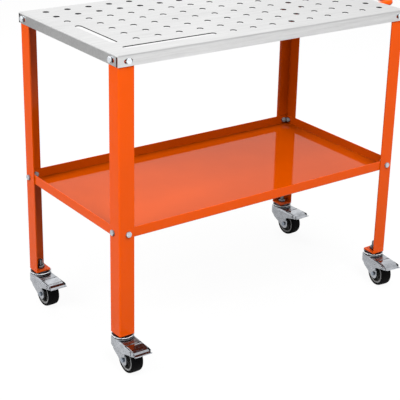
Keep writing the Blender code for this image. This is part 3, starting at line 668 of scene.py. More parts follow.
class FinishSettings(bpy.types.PropertyGroup):
    """Colours of the finishes."""
    sheet_colour: tint("Sheet steel", "Colour of the top's satin steel", (0.90, 0.90, 0.90))
    # Painted shade: a dark copy of the sheet steel for the top's underside and inner skirt faces.
    inner_sheet_shade_colour: tint("Inner sheet", "Colour of the unbrushed inside of the top", (0.16, 0.16, 0.165))
    # Partly the cut's own heat tint, partly painted shade inside the holes.
    cut_oxide_and_shade_colour: tint("Cut edges", "Colour of the walls of cut holes and slots", (0.025, 0.025, 0.028))
    paint_colour: tint("Powder coat", "Colour of the painted frame", (0.88, 0.094, 0.0))
    # Painted shade: a darker copy of the powder coat for the tray's floor under the top.
    tray_floor_shade_paint: tint("Inner paint", "Colour of the thinner coat on the tray's floor", (0.585, 0.069, 0.0))
    paint_mirrored: share("Mirrored paint", "Share of the paint's colour seen in mirrors", 0.4)
    paint_bleed: share("Colour bleed", "How much of its colour the paint throws on to others", 0.15)
    zinc_colour: tint("Zinc", "Colour of the zinc plating", (0.53, 0.55, 0.585))
    # The top bolts and race caps show this colour lightened as a painted highlight.
    bolt_colour: tint("Bolts", "Colour of the hexagon bolts, lightened at the top", (0.60, 0.63, 0.68))
    axle_colour: tint("Wheel bolts", "Colour of the bluish wheel bolts", (0.36, 0.41, 0.48))
    hub_colour: tint("Hub", "Colour of the hubs' rims", (0.28, 0.28, 0.28))
    # Painted shade: a dark copy of the hub plastic for the recessed webs.
    hub_web_shade_colour: tint("Hub web", "Colour of the hubs' inner webs", (0.05, 0.049, 0.047))
    tyre_colour: tint("Tyre", "Colour of the tyres", (0.0030, 0.0030, 0.0032))


class StageSettings(bpy.types.PropertyGroup):
    """Place, direction and lens of the camera."""
    camera_place: FloatVectorProperty(name="Camera", description="Camera position from the middle of the top",
                                      default=(-1.793497, -2.414494, 0.730535), size=3, subtype="TRANSLATION")
    camera_ahead: direction("Ahead", "Direction that the camera looks in", (0.595377, 0.715882, -0.364744))
    camera_right: direction("Right", "Direction to the right of the picture", (0.778816, -0.625772, 0.043071))
    lens: FloatProperty(name="Lens", description="Focal length on a 36 mm wide sensor", default=104.524,
                        unit="CAMERA")
    shift: FloatVectorProperty(name="Shift", description="Shift of the picture's middle",
                               default=(-0.18462, -0.07321), size=2)


class WeldingTableSettings(bpy.types.PropertyGroup):
    """All settings of the table."""
    top: PointerProperty(type=TableTopSettings)
    legs: PointerProperty(type=FrameSettings)
    bolts: PointerProperty(type=BoltSettings)
    casters: PointerProperty(type=CasterSettings)
    finishes: PointerProperty(type=FinishSettings)
    stage: PointerProperty(type=StageSettings)


def table_settings():
    """All settings of the table in this scene."""
    return bpy.context.scene.welding_table


# Shared places and cutters

def node_middle(node):
    """Middle of a CAD node's box."""
    low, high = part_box(node)
    return (low + high) / 2


def outer_edges(low, high, corner):
    """Where a box's outer end face and long face lie at a corner of the table."""
    sx, sy = CORNERS[corner]
    return (high.x if sx > 0 else low.x), (high.y if sy > 0 else low.y)


def from_corner(points, low, high, corner):
    """Places on the table from places measured in from a box's outer corner."""
    sx, sy = CORNERS[corner]
    out_x, out_y = outer_edges(low, high, corner)
    return [(out_x - sx * a, out_y - sy * b, *height) for a, b, *height in points]


def countersunk(outline, grow, low, high):
    """A cutter for a hole through a sheet, wider by a chamfer at both faces."""
    past = 0.002
    wide = []
    for i, p in enumerate(outline):
        along = (Vector(outline[(i + 1) % len(outline)]) - Vector(outline[i - 1])).normalized()
        wide.append((p[0] + along.y * (grow + past), p[1] - along.x * (grow + past)))
    rows = ((wide, low - past), (outline, low + grow), (outline, high - grow), (wide, high + past))
    return loft([[(x, y, z) for x, y in points] for points, z in rows])


def wall_cut(outline, axis, edge, out):
    """A cutter through a wall that stands across an axis and faces out, up or down that axis."""
    inner, outer = edge - out * CUT_IN, edge + out * CUT_OUT
    return prism(outline, axis, min(inner, outer), max(inner, outer))


def bolt_holes(kind, corner, low, high):
    """Cutters for a corner's two round bolt holes, in its long and its end wall."""
    edge_x, edge_y = outer_edges(low, high, corner)
    sx, sy = CORNERS[corner]
    side = node_middle(kind + "_bolt_" + corner + "_long")
    end = node_middle(kind + "_bolt_" + corner + "_end")
    return [wall_cut(ring_points(BOLT_HOLE, 16, (side.x, side.z)), "y", edge_y, sy),
            wall_cut(ring_points(BOLT_HOLE, 16, (end.y, end.z)), "x", edge_x, sx)]


# Pieces

def make_top(settings):
    """The folded sheet with skirts, corner slits, fixture holes, clamp slots and bolt slots."""
    low, high = TOP_LOW, TOP_HIGH
    sheet = settings.sheet
    mesh = bevelled_box(low, high, settings.bend, 8, high.z)
    inside = bevelled_box((low.x + sheet, low.y + sheet, low.z - CUT_OUT),
                          (high.x - sheet, high.y - sheet, high.z - sheet),
                          settings.bend - sheet, 5, high.z - sheet)
    mesh = combined(mesh, inside, "DIFFERENCE")
    cutters = fixture_holes(settings) + corner_slits(settings) + skirt_slots(settings)
    mesh = combined(mesh, joined(cutters), "DIFFERENCE")
    # The walls of holes and slots take the near-black cut finish: partly real heat tint, partly painted
    # shade.
    finishes = ["brushed_top_sheet", "laser_cut_edge", "dull_inner_sheet"]
    top = add_piece("steel_top", mesh, finishes, "table", ["table_top"], 30)
    # The underside and the inner skirt faces take the dark copy of the sheet: painted shade.
    for face in top.data.polygons:
        face.material_index = 1 if is_cut_wall(face, settings) else 2 if is_inner_face(face) else 0


def fixture_holes(settings):
    """Cutters for the grid of round holes and for the two clamp slots that take the place of some."""
    low, high = TOP_LOW, TOP_HIGH
    step_x = (high.x - low.x - settings.left_margin - settings.right_margin) / (settings.hole_columns - 1)
    step_y = (high.y - low.y - settings.back_margin - settings.front_margin) / (settings.hole_rows - 1)
    columns = [low.x + settings.left_margin + i * step_x for i in range(settings.hole_columns)]
    rows = [high.y - settings.back_margin - i * step_y for i in range(settings.hole_rows)]
    width = settings.hole_diameter
    outlines = []
    for i, x in enumerate(columns):
        for j, y in enumerate(rows):
            in_cross_slot = i == 0 and j >= CROSS_SLOT_ROWS[0]
            in_front_slot = j == len(rows) - 1 and i <= FRONT_SLOT_COLUMN
            if not in_cross_slot and not in_front_slot:
                outlines.append(ring_points(width / 2, 28, (x, y)))
    back, front = (rows[j] for j in CROSS_SLOT_ROWS)
    outlines.append(slot_points((columns[0], (back + front) / 2), back - front + width, width, False, 14))
    left, right = columns[0], columns[FRONT_SLOT_COLUMN]
    outlines.append(slot_points(((left + right) / 2, rows[-1]), right - left + width, width, True, 14))
    under = high.z - settings.sheet
    return [countersunk(outline, settings.hole_chamfer, under, high.z) for outline in outlines]


def corner_slits(settings):
    """Cutters for the open corners between the end skirts and the long skirts."""
    sheet = settings.sheet
    cutters = []
    for corner, (sx, sy) in CORNERS.items():
        edge_x, edge_y = outer_edges(TOP_LOW, TOP_HIGH, corner)
        xs = sorted((edge_x + sx * CUT_OUT, edge_x - sx * sheet * 1.5))
        ys = sorted((edge_y - sy * sheet, edge_y - sy * (sheet + settings.corner_slit)))
        cutters.append(box((xs[0], ys[0], TOP_LOW.z - CUT_OUT), (xs[1], ys[1], TOP_HIGH.z - settings.bend)))
    return cutters


def skirt_slots(settings):
    """Cutters for the bolt slots in the skirts and for the handle's bolt holes."""
    slot = (settings.bolt_slot_length, settings.bolt_slot_width, True)
    cutters = []
    for corner, (sx, sy) in CORNERS.items():
        edge_x, edge_y = outer_edges(TOP_LOW, TOP_HIGH, corner)
        spot = node_middle("top_bolt_" + corner + "_long")
        cutters.append(wall_cut(slot_points((spot.x, spot.z), *slot), "y", edge_y, sy))
        spot = node_middle("top_bolt_" + corner + "_end")
        middle = (spot.y - settings.bolt_slot_shift, spot.z)
        cutters.append(wall_cut(slot_points(middle, *slot), "x", edge_x, sx))
    for end in ("front", "back"):
        spot = node_middle("handle_bolt_" + end)
        cutters.append(wall_cut(ring_points(BOLT_HOLE, 20, (spot.y, spot.z)), "x", TOP_HIGH.x, 1))
    return cutters


def is_cut_wall(face, settings):
    """True for a wall of a hole or slot, which lies across the sheet instead of along it."""
    spot, normal = face.center, face.normal
    from_end = min(spot.x - TOP_LOW.x, TOP_HIGH.x - spot.x)
    from_side = min(spot.y - TOP_LOW.y, TOP_HIGH.y - spot.y)
    if min(from_end, from_side) > settings.bend:
        return abs(normal.z) < 0.85 and spot.z > TOP_HIGH.z - settings.sheet - HAIR
    across_sheet = abs(normal.y if from_end > settings.sheet + HAIR else normal.x)
    return across_sheet < 0.5 and abs(normal.z) < 0.99 and spot.z < TOP_HIGH.z - settings.bend - HAIR


def is_inner_face(face):
    """True for the underside of the top and the inner faces of its skirts."""
    spot, normal = face.center, face.normal
    inward = max(-normal.x * (1 if spot.x > MIDDLE.x else -1), -normal.y * (1 if spot.y > MIDDLE.y else -1))
    return normal.z < -0.7 and spot.z > TOP_HIGH.z - 0.01 or inward > 0.5


def make_legs(settings):
    """Four angle legs with a rounded bend, a foot plate and its weld."""
    sheet, flange, bend = settings.leg_sheet, settings.leg_flange, settings.leg_bend
    section = [(flange, 0.0), (flange, sheet)]
    section += arc_points((bend, bend), bend - sheet, 270, 180, 6)
    section += [(sheet, flange), (0.0, flange)]
    section += arc_points((bend, bend), bend, 180, 270, 10)
    plate = filleted([(flange, 0.0, 0.0006), (flange, flange, 0.002), (0.0, flange, 0.0006),
                      (0.0, 0.0, bend)], 6)
    hole_depth = 0.012
    for corner in CORNERS:
        low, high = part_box("leg_" + corner)
        plate_top = low.z + settings.foot_plate
        mesh = prism(from_corner(section, low, high, corner), "z", low.z, high.z)
        foot = prism(from_corner(plate, low, high, corner), "z", low.z, plate_top)
        mesh = combined(mesh, foot, "UNION")
        stem = node_middle("caster_stem_" + corner)
        hole = ring_points(STUD_HOLE, 24, (stem.x, stem.y))
        cutters = [prism(hole, "z", low.z - CUT_OUT, low.z + hole_depth)]
        for kind in ("top", "tray"):
            cutters += bolt_holes(kind, corner, low, high)
        mesh = combined(mesh, joined(cutters), "DIFFERENCE")
        bead = loft([from_corner(ring, low, high, corner) for ring in weld_rings(plate_top, sheet, flange)])
        add_piece("angle_leg_" + corner, joined([mesh, bead]), ["orange_powder_coat"], "table",
                  ["leg_" + corner], 32, 0.0005)


def weld_rings(height, sheet, flange):
    """Rings of a rippled weld inside a leg's foot, measured in from the leg's outer corner."""
    radius, ripple, end_radius = 0.0019, 0.00025, 0.0006
    rings_per_length, length_step = 14, 0.02
    sides = 8
    stop, turn = flange - 0.004, sheet + 0.002
    along = [(stop, sheet), (flange * 0.5, sheet), (turn, sheet)]
    path = along + [(b, a) for a, b in reversed(along)]
    spots = []
    for (a0, b0), (a1, b1) in zip(path, path[1:]):
        count = max(1, int(rings_per_length * math.hypot(a1 - a0, b1 - b0) / length_step))
        for i in range(count):
            t = i / count
            spots.append(Vector((a0 + (a1 - a0) * t, b0 + (b1 - b0) * t)))
    spots.append(Vector(path[-1]))
    rings = []
    for i, spot in enumerate(spots):
        ahead = spots[min(i + 1, len(spots) - 1)] - spots[max(i - 1, 0)]
        side = Vector((-ahead.y, ahead.x)).normalized()
        swell = end_radius if i in (0, len(spots) - 1) else radius + ripple * math.sin(i * 2.1)
        ring = []
        for k in range(sides):
            angle = 2 * math.pi * k / sides
            a = spot.x + side.x * math.cos(angle) * swell
            b = spot.y + side.y * math.cos(angle) * swell
            ring.append((a, b, height + math.sin(angle) * swell))
        rings.append(ring)
    return rings


def make_tray(settings):
    """The folded tray with rounded bends and closed lip corners."""
    low, high = TRAY_LOW, TRAY_HIGH
    sheet = settings.tray_sheet
    mesh = bevelled_box(low, high, settings.tray_bend, 6, low.z)
    inside = bevelled_box((low.x + sheet, low.y + sheet, low.z + sheet),
                          (high.x - sheet, high.y - sheet, high.z + CUT_OUT),
                          max(settings.tray_bend - sheet, 0.0008), 5, low.z + sheet)
    mesh = combined(mesh, inside, "DIFFERENCE")
    cutters = [cutter for corner in CORNERS for cutter in bolt_holes("tray", corner, low, high)]
    mesh = combined(mesh, joined(cutters), "DIFFERENCE")
    tray = add_piece("lower_tray", mesh, ["orange_powder_coat", "inner_powder_coat"], "table",
                     ["tray_shelf"], 30, 0.0004)
    # The tray's floor takes the darker copy of the coat: painted shade under the top.
    for face in tray.data.polygons:
        face.material_index = int(face.normal.z > 0.7 and face.center.z < low.z + 0.01)


def make_handle(settings):
    """The bent round bar on the right end."""
    radius = settings.handle_diameter / 2
    bend = settings.handle_bend
    height = (BAR_LOW.z + BAR_HIGH.z) / 2
    start = BAR_LOW.x
    bend_x = BAR_HIGH.x - radius - bend
    front, back = BAR_LOW.y + radius, BAR_HIGH.y - radius
    foot_edge, foot_share, hole_depth = 0.0007, 0.92, 0.018
    steps = 16
    quarter = [math.pi / 2 * i / steps for i in range(steps + 1)]
    path = [((start, front), 0.0, foot_share), ((start + foot_edge, front), 0.0, 1.0),
            ((bend_x, front), 0.0, 1.0)]
    for a in quarter[1:]:
        path.append(((bend_x + bend * math.sin(a), front + bend - bend * math.cos(a)), a, 1.0))
    for a in quarter:
        spot = (bend_x + bend * math.cos(a), back - bend + bend * math.sin(a))
        path.append((spot, math.pi / 2 + a, 1.0))
    path += [((start + foot_edge, back), math.pi, 1.0), ((start, back), math.pi, foot_share)]
    rings = []
    for (x, y), heading, grow in path:
        side = Vector((-math.sin(heading), math.cos(heading), 0.0))
        rings.append([Vector((x, y, height)) + side * a + Vector((0, 0, b))
                      for a, b in ring_points(radius * grow, 32)])
    cutters = []
    for end in ("front", "back"):
        spot = node_middle("handle_bolt_" + end)
        hole = ring_points(BOLT_HOLE, 16, (spot.y, spot.z))
        cutters.append(prism(hole, "x", start - CUT_OUT, start + hole_depth))
    mesh = combined(loft(rings), joined(cutters), "DIFFERENCE")
    add_piece("bent_push_handle", mesh, ["orange_powder_coat"], "table", ["push_handle"], 40)


def bolt_mesh(settings, end, grip=None):
    """A hexagon bolt along +Z: head under z=0, shank with a chamfered end, and a nut past the grip if any."""
    r = settings.shank_radius
    sunk, chamfer = 0.0005, 0.0008
    head = moved(hexagon(settings.head_flats, settings.head_height), Matrix.Rotation(math.pi, 4, "X"))
    shank = turned([(0.0, -sunk), (r, -sunk), (r, end - chamfer), (r - chamfer, end), (0.0, end)], 24)
    bolt = combined(head, shank, "UNION")
    if grip is None:
        return bolt
    nut = hexagon(settings.nut_flats, settings.nut_height, 6, True)
    moved(nut, Matrix.Translation((0.0, 0.0, grip)))
    face = grip + settings.nut_height
    dish = turned([(r + 0.0011, face + 0.001), (r - 0.0002, face - 0.0009), (r - 0.0002, face + 0.001)], 24)
    return combined(bolt, combined(nut, dish, "DIFFERENCE"), "UNION")


def aimed(mesh, place, axis, angle, twist):
    """Twist a bolt about itself, tip it about an axis and put it in place, with angles in degrees."""
    tip = Matrix.Rotation(math.radians(angle), 4, axis)
    return moved(mesh, Matrix.Translation(place) @ tip @ Matrix.Rotation(math.radians(twist), 4, "Z"))


def make_bolts(settings):
    """The hexagon bolts that hold the top, the tray and the handle."""
    # The top bolts take the lighter zinc, a painted highlight; the tray bolts take the plain bolt zinc.
    for kind, finish in (("top", "bright_zinc"), ("tray", "bolt_zinc")):
        for number, (corner, (sx, sy)) in enumerate(CORNERS.items()):
            faces = (("long", 1, sy, "X", 90, 0), ("end", 0, sx, "Y", -90, 30))
            for face, along, sign, axis, angle, twist in faces:
                node = kind + "_bolt_" + corner + "_" + face
                low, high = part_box(node)
                grip = high[along] - low[along] - settings.head_height - settings.nut_height - BOLT_TIP
                mesh = bolt_mesh(settings, grip + settings.nut_height + BOLT_TIP, grip)
                spot = (low + high) / 2
                spot[along] = (high[along] if sign > 0 else low[along]) - sign * settings.head_height
                aimed(mesh, spot, axis, angle * sign, 17 * number + twist)
                name = "hex_bolt_" + kind + "_" + corner + "_" + face
                add_piece(name, mesh, [finish], "table", [node], 35)
    for end, twist in (("front", 14), ("back", -9)):
        node = "handle_bolt_" + end
        low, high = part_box(node)
        spot = (low + high) / 2
        spot.x = low.x + settings.head_height
        mesh = aimed(bolt_mesh(settings, high.x - spot.x), spot, "Y", 90, twist)
        add_piece("hex_bolt_handle_" + end, mesh, ["bolt_zinc"], "table", [node], 35)


# Casters, made about the stem at floor level with the trail along -Y

class CasterFrame:
    """Heights and places that every piece of a caster shares."""

    def __init__(self, corner, settings):
        swivel = JOINTS["swivel_" + corner]["pos_m"]
        roll = JOINTS["roll_" + corner]
        pivot = JOINTS["brake_" + corner]["pos_m"]
        turn = math.atan2(roll["axis"][1], roll["axis"][0])
        self.wheel = roll["pos_m"][2]
        self.lift = self.wheel - settings.wheel_radius
        self.stem = Vector((swivel[0], swivel[1], 0.0))
        self.place = Matrix.Translation(self.stem) @ Matrix.Rotation(turn, 4, "Z")
        top = settings.height + self.lift
        self.head_top = top - 0.0100
        self.head_under = self.head_top - 0.003
        self.race_top = self.head_top + 0.0036
        self.cap_under = self.race_top + 0.0008
        self.cap_top = top - SEAT
        self.race = settings.head_half + 0.0028
        self.king = table_settings().bolts.stud_radius * 0.92
        self.back = 0.007
        self.front = -(settings.trail + 0.0105)
        self.pivot_y = -(settings.trail + 0.042)
        self.pivot_z = pivot[2]
        self.arm_end = self.pivot_y - 0.0130


def fork_plan(c, half_width):
    """Plan of the fork: straight cheeks and a round back."""
    front = c.arm_end - 0.01
    return [(-half_width, front), (half_width, front)] + arc_points((0.0, c.back), half_width, 0, 180, 28)


def fork_shell(c, settings, inset, low, high, rounding):
    """The fork's plan drawn up through its step and rounded over at the head."""
    narrow = settings.axle_half - inset
    wide = settings.head_half - inset
    step_low, step_high = c.wheel + 0.0115, c.wheel + 0.0215
    step_rows, round_rows = 8, 7
    sections = [(narrow, low)]
    for i in range(step_rows + 1):
        t = i / step_rows
        sections.append((narrow + (wide - narrow) * smooth_step(t), step_low + (step_high - step_low) * t))
    for i in range(round_rows + 1):
        a = math.radians(90 * i / round_rows)
        sections.append((wide - rounding * (1 - math.cos(a)), high - rounding * (1 - math.sin(a))))
    return loft([[(x, y, z) for x, y in fork_plan(c, half)] for half, z in sections])


def fork_side(c, settings):
    """Side outline of the fork: cheek down to the axle, arm out to the pedal's pivot."""
    axle = -settings.trail
    back = c.back + settings.head_half + 0.002
    foot = 0.0145
    arm = 0.0055
    head = c.head_top
    corners = [
        (back, head + 0.004, 0.0),
        (back, head * 0.80, 0.010),
        (back - 0.0112, head * 0.715, 0.010),
        (back - 0.0202, head * 0.61, 0.010),
        (back - 0.0262, head * 0.552, 0.010),
        (axle + foot * 1.8, c.wheel - foot * 0.15, 0.010),
        (axle + foot * 1.2, c.wheel - foot * 0.62, 0.006),
    ]
    corners += [(y, z, 0.0) for y, z in arc_points((axle, c.wheel), foot, -75, -178, 12)]
    corners += [
        (axle - 0.0130, c.wheel + 0.0140, 0.012),
        (axle - 0.0115, c.wheel + 0.0245, 0.007),
    ]
    corners += [(y, z, 0.0) for y, z in arc_points((c.arm_end + arm, c.pivot_z + 0.0008), arm, 265, 95, 10)]
    corners += [
        (c.front, head, 0.0),
        (c.front, head + 0.004, 0.0),
    ]
    return filleted(corners, 6)


def fork_mesh(c, settings):
    """The pressed fork with its head, lower race, cheek dimples and holes."""
    mesh = fork_shell(c, settings, 0.0, c.lift - 0.005, c.head_top, settings.fork_round)
    mesh = combined(mesh, across(fork_side(c, settings)), "INTERSECT")
    sheet = settings.fork_sheet
    inside = fork_shell(c, settings, sheet, c.lift - 0.01, c.head_under, settings.fork_round - sheet)
    mesh = combined(mesh, inside, "DIFFERENCE")
    gap = settings.head_half - sheet
    mouth = box((-gap, c.arm_end - 0.02, c.head_under - 0.004), (gap, c.front, c.head_top + 0.01))
    mesh = combined(mesh, mouth, "DIFFERENCE")
    race = [
        (c.race * 0.955, c.head_under + 0.0005),
        (c.race * 0.98, c.head_under + 0.0012),
        (c.race * 0.98, c.head_top + 0.0006),
        (c.race * 0.965, c.head_top + 0.0012),
        (c.race * 0.90, c.head_top + 0.0020),
        (c.race * 0.872, c.head_top + 0.0030),
        (c.race * 0.86, c.race_top - 0.0004),
        (c.race * 0.845, c.race_top),
        (c.race * 0.60, c.race_top),
        (c.king + 0.0048, c.head_top + 0.0008),
        (c.king + 0.0048, c.head_under + 0.0005),
    ]
    mesh = combined(mesh, turned(race, 56), "UNION")
    cutters = [
        prism(ring_points(c.king + 0.0008, 32), "z", c.head_under - 0.005, c.race_top + 0.005),
        across(ring_points(settings.axle_radius + PLAY, 24, (-settings.trail, c.wheel))),
        across(ring_points(BOLT_HOLE, 20, (c.pivot_y, c.pivot_z))),
    ]
    cheek = settings.head_half
    for side in (-1, 1):
        dimple = turned([(0.0, cheek - 0.0010), (0.0016, cheek - 0.0009), (0.0030, cheek + 0.0002),
                         (0.0, cheek + 0.002)], 20, "x")
        flip = Matrix.Scale(side, 4, (1, 0, 0))
        cutters.append(moved(dimple, Matrix.Translation((0.0, -0.046, c.head_top - 0.0105)) @ flip))
    return combined(mesh, joined(cutters), "DIFFERENCE")


def make_forks(settings):
    """The four pressed forks and their wheel bolts."""
    for corner in CORNERS:
        c = CasterFrame(corner, settings)
        body = "fork_" + corner
        add_piece("pressed_fork_" + corner, moved(fork_mesh(c, settings), c.place), ["zinc_fork"], body,
                  ["caster_fork_" + corner], 28, 0.0004)
        add_piece("wheel_bolt_" + corner, moved(axle_mesh(c, settings), c.place), ["blue_zinc"], body,
                  ["wheel_axle_" + corner], 35)


def axle_mesh(c, settings):
    """The wheel bolt with its hexagon head, nut and end, along X."""
    flats, head_height, nut_height = 0.0110, 0.0040, 0.0034
    sunk, chamfer = 0.002, 0.0007
    face = settings.axle_half + SEAT
    r = settings.axle_radius
    start, end = -face - sunk, face + 0.0045
    shank = turned([(0.0, start), (r, start), (r, end - chamfer), (r - chamfer, end), (0.0, end)], 24)
    head = moved(hexagon(flats, head_height), Matrix.Rotation(math.pi, 4, "X"))
    moved(head, Matrix.Translation((0.0, 0.0, -face)))
    nut = moved(hexagon(flats, nut_height, 6, True), Matrix.Translation((0.0, 0.0, face)))
    mesh = combined(combined(shank, head, "UNION"), nut, "UNION")
    return aimed(mesh, (0.0, -settings.trail, c.wheel), "Y", 90, 0)


def cap_and_stud_mesh(c, bolts, stud_top):
    """The race cap with its rivet below and its threaded stud above, about the stem."""
    rivet = c.head_under - SEAT
    r = bolts.stud_radius
    cap = [
        (0.0, c.cap_top + 0.004),
        (r - 0.0004, c.cap_top + 0.004),
        (r - 0.0004, c.cap_top),
        (c.race * 0.70, c.cap_top),
        (c.race * 0.70, c.cap_top - 0.0024),
        (c.race * 0.74, c.cap_top - 0.0030),
        (c.race * 0.94, c.cap_top - 0.0032),
        (c.race, c.cap_top - 0.0042),
        (c.race, c.cap_under + 0.0006),
        (c.race * 0.985, c.cap_under + 0.0001),
        (c.race * 0.96, c.cap_under),
        (c.king, c.cap_under),
        (c.king, rivet),
        (c.king * 1.7, rivet),
        (c.king * 1.65, rivet - 0.0012),
        (c.king * 1.4, rivet - 0.0030),
        (c.king * 0.8, rivet - 0.0036),
        (0.0, rivet - 0.0036),
    ]
    return combined(turned(cap, 56), thread_mesh(r, bolts.stud_pitch, c.cap_top + 0.002, stud_top), "UNION")


def stud_nut_mesh(bolts, height):
    """The hexagon nut of a stud, with a countersunk bore."""
    nut = hexagon(bolts.stud_nut_flats, height, 8, True)
    bore, mouth = bolts.stud_radius + PLAY, bolts.stud_radius + 0.003
    sink, past = 0.0008, 0.0018
    cutter = turned([(0.0, -CUT_OUT), (mouth, -past), (bore, sink), (bore, height - sink),
                     (mouth, height + past), (0.0, height + CUT_OUT)], 32)
    return combined(nut, cutter, "DIFFERENCE")


def make_stems(settings):
    """The race caps with their threaded studs, and the nuts on the foot plates."""
    bolts = table_settings().bolts
    for number, corner in enumerate(CORNERS, 1):
        c = CasterFrame(corner, settings)
        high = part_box("caster_stem_" + corner)[1]
        mesh = moved(cap_and_stud_mesh(c, bolts, high.z), Matrix.Translation(c.stem))
        # The cap's top faces and the stud take the darker zinc, which is painted shade under the foot plate;
        # the rest takes the lighter zinc, a painted highlight.
        upper = [int(face.center.z > c.cap_top - 0.0036) for face in mesh.polygons]
        stem = add_piece("race_cap_and_stud_" + corner, mesh, ["bright_zinc", "zinc_studs"], "table",
                         ["caster_stem_" + corner], 35)
        stem.data.polygons.foreach_set("material_index", upper)
        low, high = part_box("caster_nut_" + corner)
        nut = aimed(stud_nut_mesh(bolts, high.z - low.z), (c.stem.x, c.stem.y, low.z), "Z", 0, 12 * number)
        add_piece("stud_nut_" + corner, nut, ["zinc_studs"], "table",
                  ["caster_nut_" + corner], 35)


def hub_mesh(settings):
    """The wheel centre with rim, ribbed web and boss, along X."""
    half = settings.tread_half - 0.0012
    boss = settings.axle_half - settings.fork_sheet - 0.0008
    bore = settings.axle_radius + PLAY
    rim = settings.hub_radius
    right = [
        (bore, boss),
        (bore + 0.0036, boss),
        (bore + 0.0042, boss - 0.0006),
        (bore + 0.0050, 0.0060),
        (bore + 0.0058, 0.0048),
        (rim - 0.0068, 0.0045),
        (rim - 0.0060, 0.0052),
        (rim - 0.0050, half - 0.0018),
        (rim - 0.0046, half - 0.0004),
        (rim - 0.0040, half),
        (rim - 0.0010, half),
        (rim, half - 0.0008),
    ]
    rib_half, rib_sheet, rib_count = 0.0085, 0.0011, 8
    ribs = []
    for k in range(rib_count):
        rib = box((-rib_half, -rib_sheet, bore + 0.0030), (rib_half, rib_sheet, rim - 0.0050))
        ribs.append(moved(rib, Matrix.Rotation(math.radians(360 / rib_count * k + 20), 4, "X")))
    return combined(turned(mirrored(right), 64, "x"), joined(ribs), "UNION")


def tyre_mesh(c, settings):
    """The tyre with rounded shoulders and a flat crown, along X."""
    half = settings.tread_half
    outer = c.wheel
    inner = settings.hub_radius + SEAT
    right = [
        (inner, half - 0.0010),
        (inner + 0.0008, half - 0.0003),
        (outer - 0.0044, half),
        (outer - 0.0032, half - 0.0004),
        (outer - 0.0020, half - 0.0012),
        (outer - 0.0010, half - 0.0026),
        (outer - 0.0004, half - 0.0045),
        (outer - 0.0001, half - 0.0075),
        (outer, 0.0030),
    ]
    return turned(mirrored(right), 72, "x")


def make_wheels(settings):
    """Four hubs and their tyres."""
    for corner in CORNERS:
        c = CasterFrame(corner, settings)
        place = c.place @ Matrix.Translation((0.0, -settings.trail, c.wheel))
        body = "wheel_" + corner
        mesh = hub_mesh(settings)
        # The recessed web takes the dark copy of the hub plastic: painted shade in the recess.
        web = [int(abs(face.center.x) <= settings.tread_half - 0.0030) for face in mesh.polygons]
        hub = add_piece("ribbed_hub_" + corner, moved(mesh, place), ["grey_hub_plastic", "dark_hub_web"],
                        body, ["wheel_hub_" + corner], 32, 0.0002)
        hub.data.polygons.foreach_set("material_index", web)
        add_piece("rubber_tyre_" + corner, moved(tyre_mesh(c, settings), place), ["black_wheel_rubber"], body,
                  ["wheel_tyre_" + corner], 45)


def pedal_mesh(c, settings):
    """The pressed brake pedal about its pivot: crowned plate, side flanges, cam, flared lip and pin."""
    t = settings.pedal_sheet
    half, flare = settings.pedal_half, settings.lip_half
    crown = c.head_top - c.pivot_z
    rear = c.front - 0.0040 - c.pivot_y
    lip = c.arm_end - 0.0015 - c.pivot_y
    tip = lip - 0.0105
    heights = [(rear, crown + 0.0004), (rear - 0.010, crown + 0.0008), (0.004, crown + 0.0002),
               (lip + 0.009, crown - 0.0022), (lip - 0.001, crown - 0.0066), (lip - 0.0035, crown - 0.0073),
               (tip, crown - 0.0048)]
    widths = [(rear, half - 0.001), (rear - 0.003, half), (lip + 0.003, half - 0.0005), (lip - 0.004, flare),
              (tip + 0.0030, flare), (tip + 0.001, flare - 0.0010), (tip, flare - 0.0030)]
    depths = [(rear, t), (rear - 0.006, t), (rear - 0.010, crown + 0.0050), (-0.006, crown + 0.0062),
              (-0.010, t + 0.001), (lip, t), (tip, t)]
    rows = 44
    rings = []
    for i in range(rows + 1):
        y = rear + (tip - rear) * i / rows
        z = between(y, heights)
        w = between(y, widths)
        d = max(between(y, depths), t)
        rounding = min(0.0016, d * 0.5)
        side = arc_points((w - rounding, z - rounding), rounding, 90, 0, 4)
        side += [(w, z - d), (w - t, z - d), (w - t, z - (t if d > t + 1e-5 else d))]
        rings.append([(a, y, b) for a, b in side + [(-a, b) for a, b in reversed(side)]])
    gap = math.hypot(settings.trail + c.pivot_y, c.pivot_z - c.wheel) - settings.wheel_radius
    reach = gap - 0.0007
    aim = math.atan2(c.wheel - c.pivot_z, -settings.trail - c.pivot_y) - math.radians(23)
    nose_y, nose_z = reach * math.cos(aim), reach * math.sin(aim)
    root = crown - t * 0.6
    cam = [(0.0045, root, 0.0), (0.0040, -0.004, 0.002), (nose_y + 0.0022, nose_z + 0.0012, 0.001),
           (nose_y, nose_z, 0.001), (nose_y - 0.0026, nose_z + 0.0016, 0.001), (-0.0040, -0.004, 0.002),
           (-0.0045, root, 0.0)]
    mesh = combined(loft(rings), prism(filleted(cam, 4), "x", -0.009, 0.009), "UNION")
    end = settings.head_half + SEAT
    pin = [(0.0, -end - 0.0012), (0.0018, -end - 0.0011), (0.0028, -end - 0.0004),
           (0.0028, end + 0.0004), (0.0018, end + 0.0011), (0.0, end + 0.0012)]
    return combined(mesh, turned(pin, 28, "x"), "UNION")


def make_pedals(settings):
    """Four brake pedals on their pivot pins."""
    for corner in CORNERS:
        c = CasterFrame(corner, settings)
        place = c.place @ Matrix.Translation((0.0, c.pivot_y, c.pivot_z))
        add_piece("pressed_pedal_" + corner, moved(pedal_mesh(c, settings), place), ["zinc_pedal"],
                  "pedal_" + corner, ["brake_pedal_" + corner], 30, 0.0003)


# Stage

